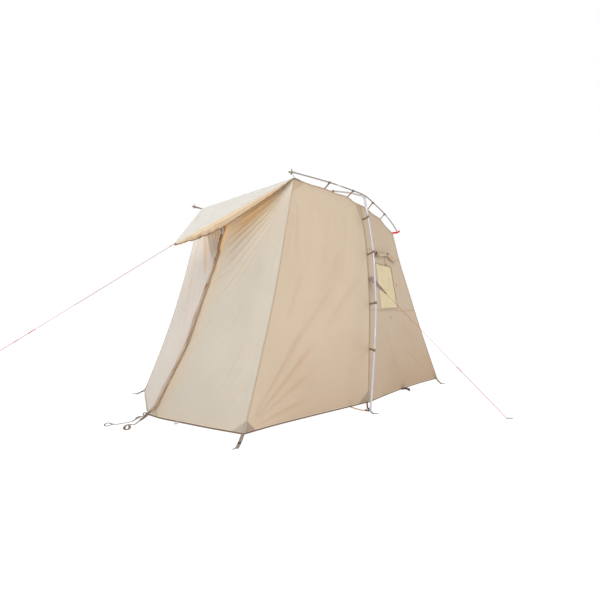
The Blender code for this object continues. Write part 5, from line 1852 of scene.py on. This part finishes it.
DOOR_RIGHT_ROUTE = [
    (0.008, -0.346, 0.012), (0.048, -0.399, 0.004), (0.096, -0.439, 0.002), (0.134, -0.475, 0.003),
    (0.175, -0.51, 0.004), (0.2, -0.534, 0.002), (0.218, -0.554, 0.001), (0.207, -0.572, 0),
    (0.188, -0.584, 0), (0.186, -0.602, 0), (0.205, -0.621, 0), (0.236, -0.642, 0.001),
    (0.276, -0.657, 0.001), (0.312, -0.659, 0.001), (0.324, -0.646, 0.002), (0.308, -0.628, 0.003),
    (0.27, -0.612, 0.005), (0.234, -0.604, 0.007)]
# The straps to the pegs: route, width, finish and the way that the peg's arm points
PEG_STRAPS = {
    "front_right": (FRONT_RIGHT_ROUTE, 0.028, "front_web", (0.35, -0.94)),
    "front_left": (FRONT_LEFT_ROUTE, 0.028, "taupe", (-0.3, -0.95)),
    "rear_right": (REAR_ROUTE, 0.022, "front_web", (1, 0.03)),
    "rear_left": (over_to_left(REAR_ROUTE), 0.022, "front_web", (-1, 0.03)),
    "side_right": (SIDE_ROUTE, 0.016, "taupe", (0.87, 0.49)),
    "side_left": (over_to_left(SIDE_ROUTE), 0.016, "taupe", (-0.87, 0.49))}
# The buckles on the front straps: x, y and height above the ground, and the way they point
FRONT_BUCKLES = {
    "right": ((1.19, -0.13, 0.0052), (0.76, -0.65)),
    "left": ((-1.006, -0.04, 0.006), (0.55, -0.83))}


def add_peg_straps():
    """The straps from the hem, their pegs, and the front straps' buckles."""
    for place, (route, width, finish, arm) in PEG_STRAPS.items():
        bm = new_shape()
        lay_strap(bm, route, width, 0.0024, 50)
        set_piece("ground_strap_" + place, bm, finish, "peg_strap_" + place)
        end = Vector((*route[-1][:2], GROUND))
        way = (end - Vector((*route[-2][:2], GROUND))).normalized()
        peg = new_shape()
        bend_peg(peg, end + way * 0.004, Vector((*arm, 0)))
        set_piece("peg_head_" + place, peg, "peg", "peg_" + place)
    for side, ((x, y, height), along) in FRONT_BUCKLES.items():
        buckle = new_shape()
        ladder_buckle(buckle, Vector((x, y, GROUND + height)), Vector((*along, 0)).normalized(), 0.022, 0.022)
        set_piece("front_buckle_" + side, buckle, "dark")


def add_cross_strap():
    bm = new_shape()
    route = over_to_left(CROSS_ROUTE_HALF) + [(0, 1.293, 0)] + CROSS_ROUTE_HALF[::-1]
    lay_strap(bm, route, 0.024, 0.0026, 160)
    set_piece("cross_strap", bm, "pinkish", "ground_strap")


def add_foot_straps():
    """What holds each hoop foot to the hem: a strap, two buttons and a toggle."""
    for side, sign in SIDES:
        strap = new_shape()
        route = [(sign * x, y, lift) for x, y, lift in FOOT_ROUTE]
        lay_strap(strap, route, 0.015, 0.003, 40)
        set_piece("hoop_foot_strap_" + side, strap, "foot_web")
        buttons = new_shape()
        turned(buttons, Vector((sign * 1.19, 1.318, GROUND + 0.012)), UP,
               ((-0.008, 0.005), (-0.003, 0.007), (0.003, 0.007), (0.008, 0.005)))
        turned(buttons, Vector((sign * 1.222, 1.274, GROUND + 0.009)), UP,
               ((-0.006, 0.005), (-0.002, 0.008), (0.003, 0.008), (0.007, 0.005)))
        set_piece("hoop_foot_buckle_" + side, buttons, "dark")
        toggle = new_shape()
        turned(toggle, Vector((sign * 1.188, 1.282, GROUND + 0.008)), Vector((0.68, 0.73 * sign, 0)),
               ((-0.012, 0.004), (-0.005, 0.0062), (0.005, 0.0062), (0.012, 0.004)))
        set_piece("hoop_foot_toggle_" + side, toggle, "red_clip")


def door_strap_width(t):
    """Double at its start, then a single band on its edge."""
    return 0.02 - 0.009 * soft((t - 0.26) / 0.1)


def door_strap_right_width(t):
    return door_strap_width(t) + 0.009 * soft((t - 0.52) / 0.14)


def add_door_straps():
    """The two loose straps at the foot of the door, in a loop and in a curl."""
    bm = new_shape()
    lay_strap(bm, DOOR_LEFT_ROUTE, door_strap_width, 0.0026, 170)
    lay_strap(bm, DOOR_HOOK_ROUTE, 0.012, 0.003, 24)
    set_piece("door_strap_left", bm, "door_web", "peg_strap_door_left")
    bm = new_shape()
    lay_strap(bm, DOOR_RIGHT_ROUTE, door_strap_right_width, 0.0034, 170)
    set_piece("door_strap_right", bm, "door_web", "peg_strap_door_right")
    buckles = new_shape()
    ladder_buckle(buckles, Vector((0.048, -0.462, GROUND + 0.0105)), Vector((0.63, -0.77, 0)), 0.052, 0.024)
    ladder_buckle(buckles, Vector((0.085, -0.428, GROUND + 0.008)), Vector((0.71, -0.7, 0)), 0.09, 0.024)
    turned(buckles, Vector((0, -0.352, GROUND + 0.014)), Vector((0.012, 0.01, 0)),
           ((-1.8, 0.005), (-0.6, 0.0075), (0.6, 0.0075), (1.8, 0.005)))
    set_piece("door_buckles", buckles, "clip")


def add_hem_tabs():
    """The tabs on the hem: one behind each leg of the hoop and one at the front."""
    for side, sign in SIDES:
        tab = new_shape()
        route = [(sign * x, y, lift) for x, y, lift in HEM_TAB_ROUTE]
        lay_strap(tab, route, lambda t: 0.062 - 0.044 * t, 0.015, 24)
        set_piece("hem_tab_" + side, tab, "dark_web")
    grey = new_shape()
    lay_strap(grey, [(0.398, -0.25, 0.006), (0.414, -0.268, 0.003), (0.43, -0.286, 0)], 0.034, 0.003, 12)
    set_piece("front_hem_tab", grey, "pale_grey")


# Guy lines

CORD = 0.0019
CORD_APART = 0.0022
PEG_LOOP = 0.0052
RUNNER_LONG = 0.056
# A runner's half width and half height along its length
RUNNER_MARKS = (
    (-0.5, 0.0038, 0.0016), (-0.44, 0.0058, 0.0022), (-0.3, 0.0062, 0.0024), (-0.15, 0.0056, 0.0022),
    (0, 0.006, 0.0024), (0.15, 0.0056, 0.0022), (0.3, 0.0062, 0.0024), (0.44, 0.0058, 0.0022),
    (0.5, 0.0038, 0.0016))
GUY_END_HEIGHT = GROUND + 0.004
# How far down each line from where it is sewn on its cord starts and its runner sits
FRONT_GUY_START = 0.066
FRONT_GUY_RUNNER = 1.41
FRONT_GUY_END = Vector((0, -2.484, GUY_END_HEIGHT))
SIDE_GUY_START = 0.215
SIDE_GUY_RUNNER = 1.21
SIDE_GUY_HEIGHT = 1.271
SIDE_GUY_END = Vector((2.177, 2.023, GUY_END_HEIGHT))
# The side lines' webbing: distance down the line and half width
GUY_WEB_MARKS = (
    (0, 0.028), (0.004, 0.03), (0.05, 0.0265), (0.1, 0.023), (0.15, 0.0195), (0.19, 0.0165), (0.215, 0.011),
    (0.23, 0.004))
GUY_EDGE_MARKS = ((0.002, 0.0285), (0.05, 0.0255), (0.1, 0.022), (0.15, 0.0185), (0.19, 0.0155))


def guy_cords(bm, start, end, slider):
    """The cord as far as the slider, doubled from there, and the loop round the peg."""
    way = (end - start).normalized()
    side = way.cross(UP).normalized()
    length = (end - start).length
    up = side.cross(way)
    single = [start + way * length * k / 40 * slider / length for k in range(41)]
    draw_along(bm, single, up, ROUND, CORD, CORD)
    for sign in (1, -1):
        double = []
        for k in range(31):
            far = slider + (length - slider) * k / 30
            double.append(start + way * far + side * sign * CORD_APART)
        draw_along(bm, double, up, ROUND, CORD, CORD)
    loop = []
    for k in range(-6, 7):
        turn = pi * k / 12
        loop.append(end + side * sin(turn) * PEG_LOOP + way * (cos(turn) * PEG_LOOP - 0.0012))
    draw_along(bm, loop, up, ROUND, CORD, CORD)


def set_runner(name, centre, way, up):
    """A flat three-hole runner that curves a little."""
    bm = new_shape()
    points = [centre + way * RUNNER_LONG * k + up * 0.001 * (1 - 16 * k * k) for k, _, _ in RUNNER_MARKS]
    _, wides, talls = zip(*RUNNER_MARKS)
    draw_along(bm, points, up, FLAT, wides, talls)
    for k in (-0.32, 0, 0.32):
        turned(bm, centre + way * RUNNER_LONG * k, up, ((-0.0036, 0.0024), (0, 0.0024), (0.0036, 0.0024)))
    set_piece(name, bm, "slider")


def add_front_guy():
    """The line from the canopy's tip, whipped there and doubled below its runner."""
    tip = Vector((0, CANOPY_TIP.y, CANOPY_TIP.z)) + ROOF_EDGE_UP * 0.002
    way = (FRONT_GUY_END - tip).normalized()
    side = way.cross(UP).normalized()
    bm = new_shape()
    for sign in (1, -1):
        loop = [tip + way * t + side * sign * 0.006 * sin(pi * min(t / 0.058, 1)) for t in
                (0, 0.008, 0.016, 0.026, 0.036, 0.046, 0.056)]
        draw_along(bm, loop, UP, ROUND, CORD, CORD)
    turned(bm, tip, way, ((0.054, 0.0026), (0.059, 0.0042), (0.066, 0.0042), (0.071, 0.0024)))
    guy_cords(bm, tip + way * FRONT_GUY_START, FRONT_GUY_END, FRONT_GUY_RUNNER - FRONT_GUY_START)
    for t in (1.52, 1.535, 1.55):
        rod(bm, [tip + way * (t + off) for off in (-0.004, 0, 0.004)], [0.003, 0.0046, 0.003])
    set_piece("front_guy_cord", bm, "cord", "guy_line_front")
    set_runner("front_guy_runner", tip + way * FRONT_GUY_RUNNER, way, side.cross(way).normalized())
    set_guy_peg("front", FRONT_GUY_END, way)


def add_side_guys():
    """The lines from the hoop seams: web, corded edges, knot, cord and runner."""
    share = share_at(hoop_seam, lambda point: point.z > SIDE_GUY_HEIGHT)
    seam = hoop_seam(share) + hoop_way(share) * 0.0067
    way = (SIDE_GUY_END - seam).normalized()
    for side, sign in SIDES:
        start = flip(seam + way * 0.0028, sign)
        end = flip(SIDE_GUY_END, sign)
        pull = (end - start).normalized()
        out = Vector((sign, 0, 0))
        web = new_shape()
        draw_along(web, [start + pull * t for t, _ in GUY_WEB_MARKS], out, FLAT,
                   [wide for _, wide in GUY_WEB_MARKS], 0.0013)
        set_piece("guy_webbing_" + side, web, "guy_web")
        edge = new_shape()
        across = pull.cross(out).normalized()
        for turn in (1, -1):
            points = [start + pull * t + across * turn * wide for t, wide in GUY_EDGE_MARKS]
            draw_along(edge, points, out, ROUND, 0.0016, 0.0022)
        set_piece("guy_webbing_edge_" + side, edge, "coil")
        knot = new_shape()
        turned(knot, start, pull, ((0.214, 0.0034), (0.222, 0.006), (0.232, 0.0056), (0.24, 0.0028)))
        set_piece("guy_webbing_knot_" + side, knot, "red_clip")
        bm = new_shape()
        guy_cords(bm, start + pull * SIDE_GUY_START, end, SIDE_GUY_RUNNER - SIDE_GUY_START)
        turned(bm, start, pull, ((0.212, 0.0026), (0.22, 0.0046), (0.23, 0.0042), (0.238, 0.0022)))
        set_piece("side_guy_cord_" + side, bm, "cord", "guy_line_" + side)
        set_runner("side_guy_runner_" + side, start + pull * SIDE_GUY_RUNNER, pull,
                   pull.cross(UP).cross(pull).normalized())
        set_guy_peg(side, end, pull)


def set_guy_peg(name, end, way):
    """A guy line's peg, with its arm pointing on along the line."""
    flat = Vector((way.x, way.y, 0)).normalized()
    bm = new_shape()
    bend_peg(bm, Vector((end.x, end.y, GROUND)) + flat * 0.00385, flat)
    set_piece("guy_peg_head_" + name, bm, "peg", "guy_peg_" + name)


def add_camera():
    """The photograph's camera, level and looking to the left and back."""
    data = bpy.data.cameras.new("camera")
    data.sensor_width = SENSOR
    data.lens = PHOTO_FOCAL / PHOTO_WIDTH * SENSOR
    data.shift_y = -PHOTO_DROP / PHOTO_WIDTH
    camera = placed("camera", data)
    right, place = CAMERA_RIGHT, CAMERA_PLACE
    camera.matrix_world = Matrix((
        (right.x, 0, right.y, place.x),
        (right.y, 0, -right.x, place.y),
        (0, 1, 0, place.z),
        (0, 0, 0, 1)))
    bpy.context.scene.camera = camera


# The plain studio

SURROUND = 0.62
FLOOR_GLOW = 0.8


def add_sun(name, toward, softness, strength, colour):
    data = bpy.data.lights.new(name, "SUN")
    data.angle = radians(softness)
    data.energy = strength
    data.color = colour
    light = placed(name, data)
    light.rotation_euler = Vector(toward).to_track_quat("Z", "Y").to_euler()


def add_studio():
    """A plain pale floor, a white surround and three soft lights."""
    bpy.context.scene.view_settings.view_transform = "Standard"
    world = bpy.data.worlds.new("studio")
    bpy.context.scene.world = world
    world.use_nodes = True
    board = Board(world.node_tree)
    background = world.node_tree.nodes["Background"]
    background.inputs["Color"].default_value = (1, 1, 1, 1)
    seen = board.put("ShaderNodeLightPath").outputs["Is Camera Ray"]
    board.set(background.inputs["Strength"], board.between(seen, 0.0, 1.0, SURROUND, 1.0))
    material, board, shader = new_finish("studio floor")
    shader.inputs["Base Color"].default_value = (0.3, 0.3, 0.3, 1)
    shader.inputs["Roughness"].default_value = 1.0
    shader.inputs["Emission Color"].default_value = (1, 1, 1, 1)
    shader.inputs["Emission Strength"].default_value = FLOOR_GLOW
    bm = bmesh.new()
    bmesh.ops.create_grid(bm, x_segments=1, y_segments=1, size=60)
    mesh = bpy.data.meshes.new("studio_floor")
    bm.to_mesh(mesh)
    bm.free()
    mesh.materials.append(material)
    floor = placed("studio_floor", mesh)
    add_sun("key", (-0.35, -0.75, 0.56), 30, 0.85, (1.0, 0.99, 0.97))
    add_sun("fill", (0.8, -0.1, 0.58), 60, 1.15, (1.0, 0.98, 0.96))
    add_sun("low", (0.1, -0.97, 0.1), 40, 0.35, (1.0, 0.98, 0.96))


add_front()
add_zip_cloths()
add_zip_hardware()
add_front_walls()
add_rear_walls()
add_window_rolls()
add_roof()
add_canopy()
add_hems()
add_seams()
add_poles()
add_hoop_tapes()
add_roof_tapes()
add_arch_tape()
add_rear_straps()
add_peg_straps()
add_cross_strap()
add_foot_straps()
add_door_straps()
add_hem_tabs()
add_front_guy()
add_side_guys()
add_camera()
add_studio()
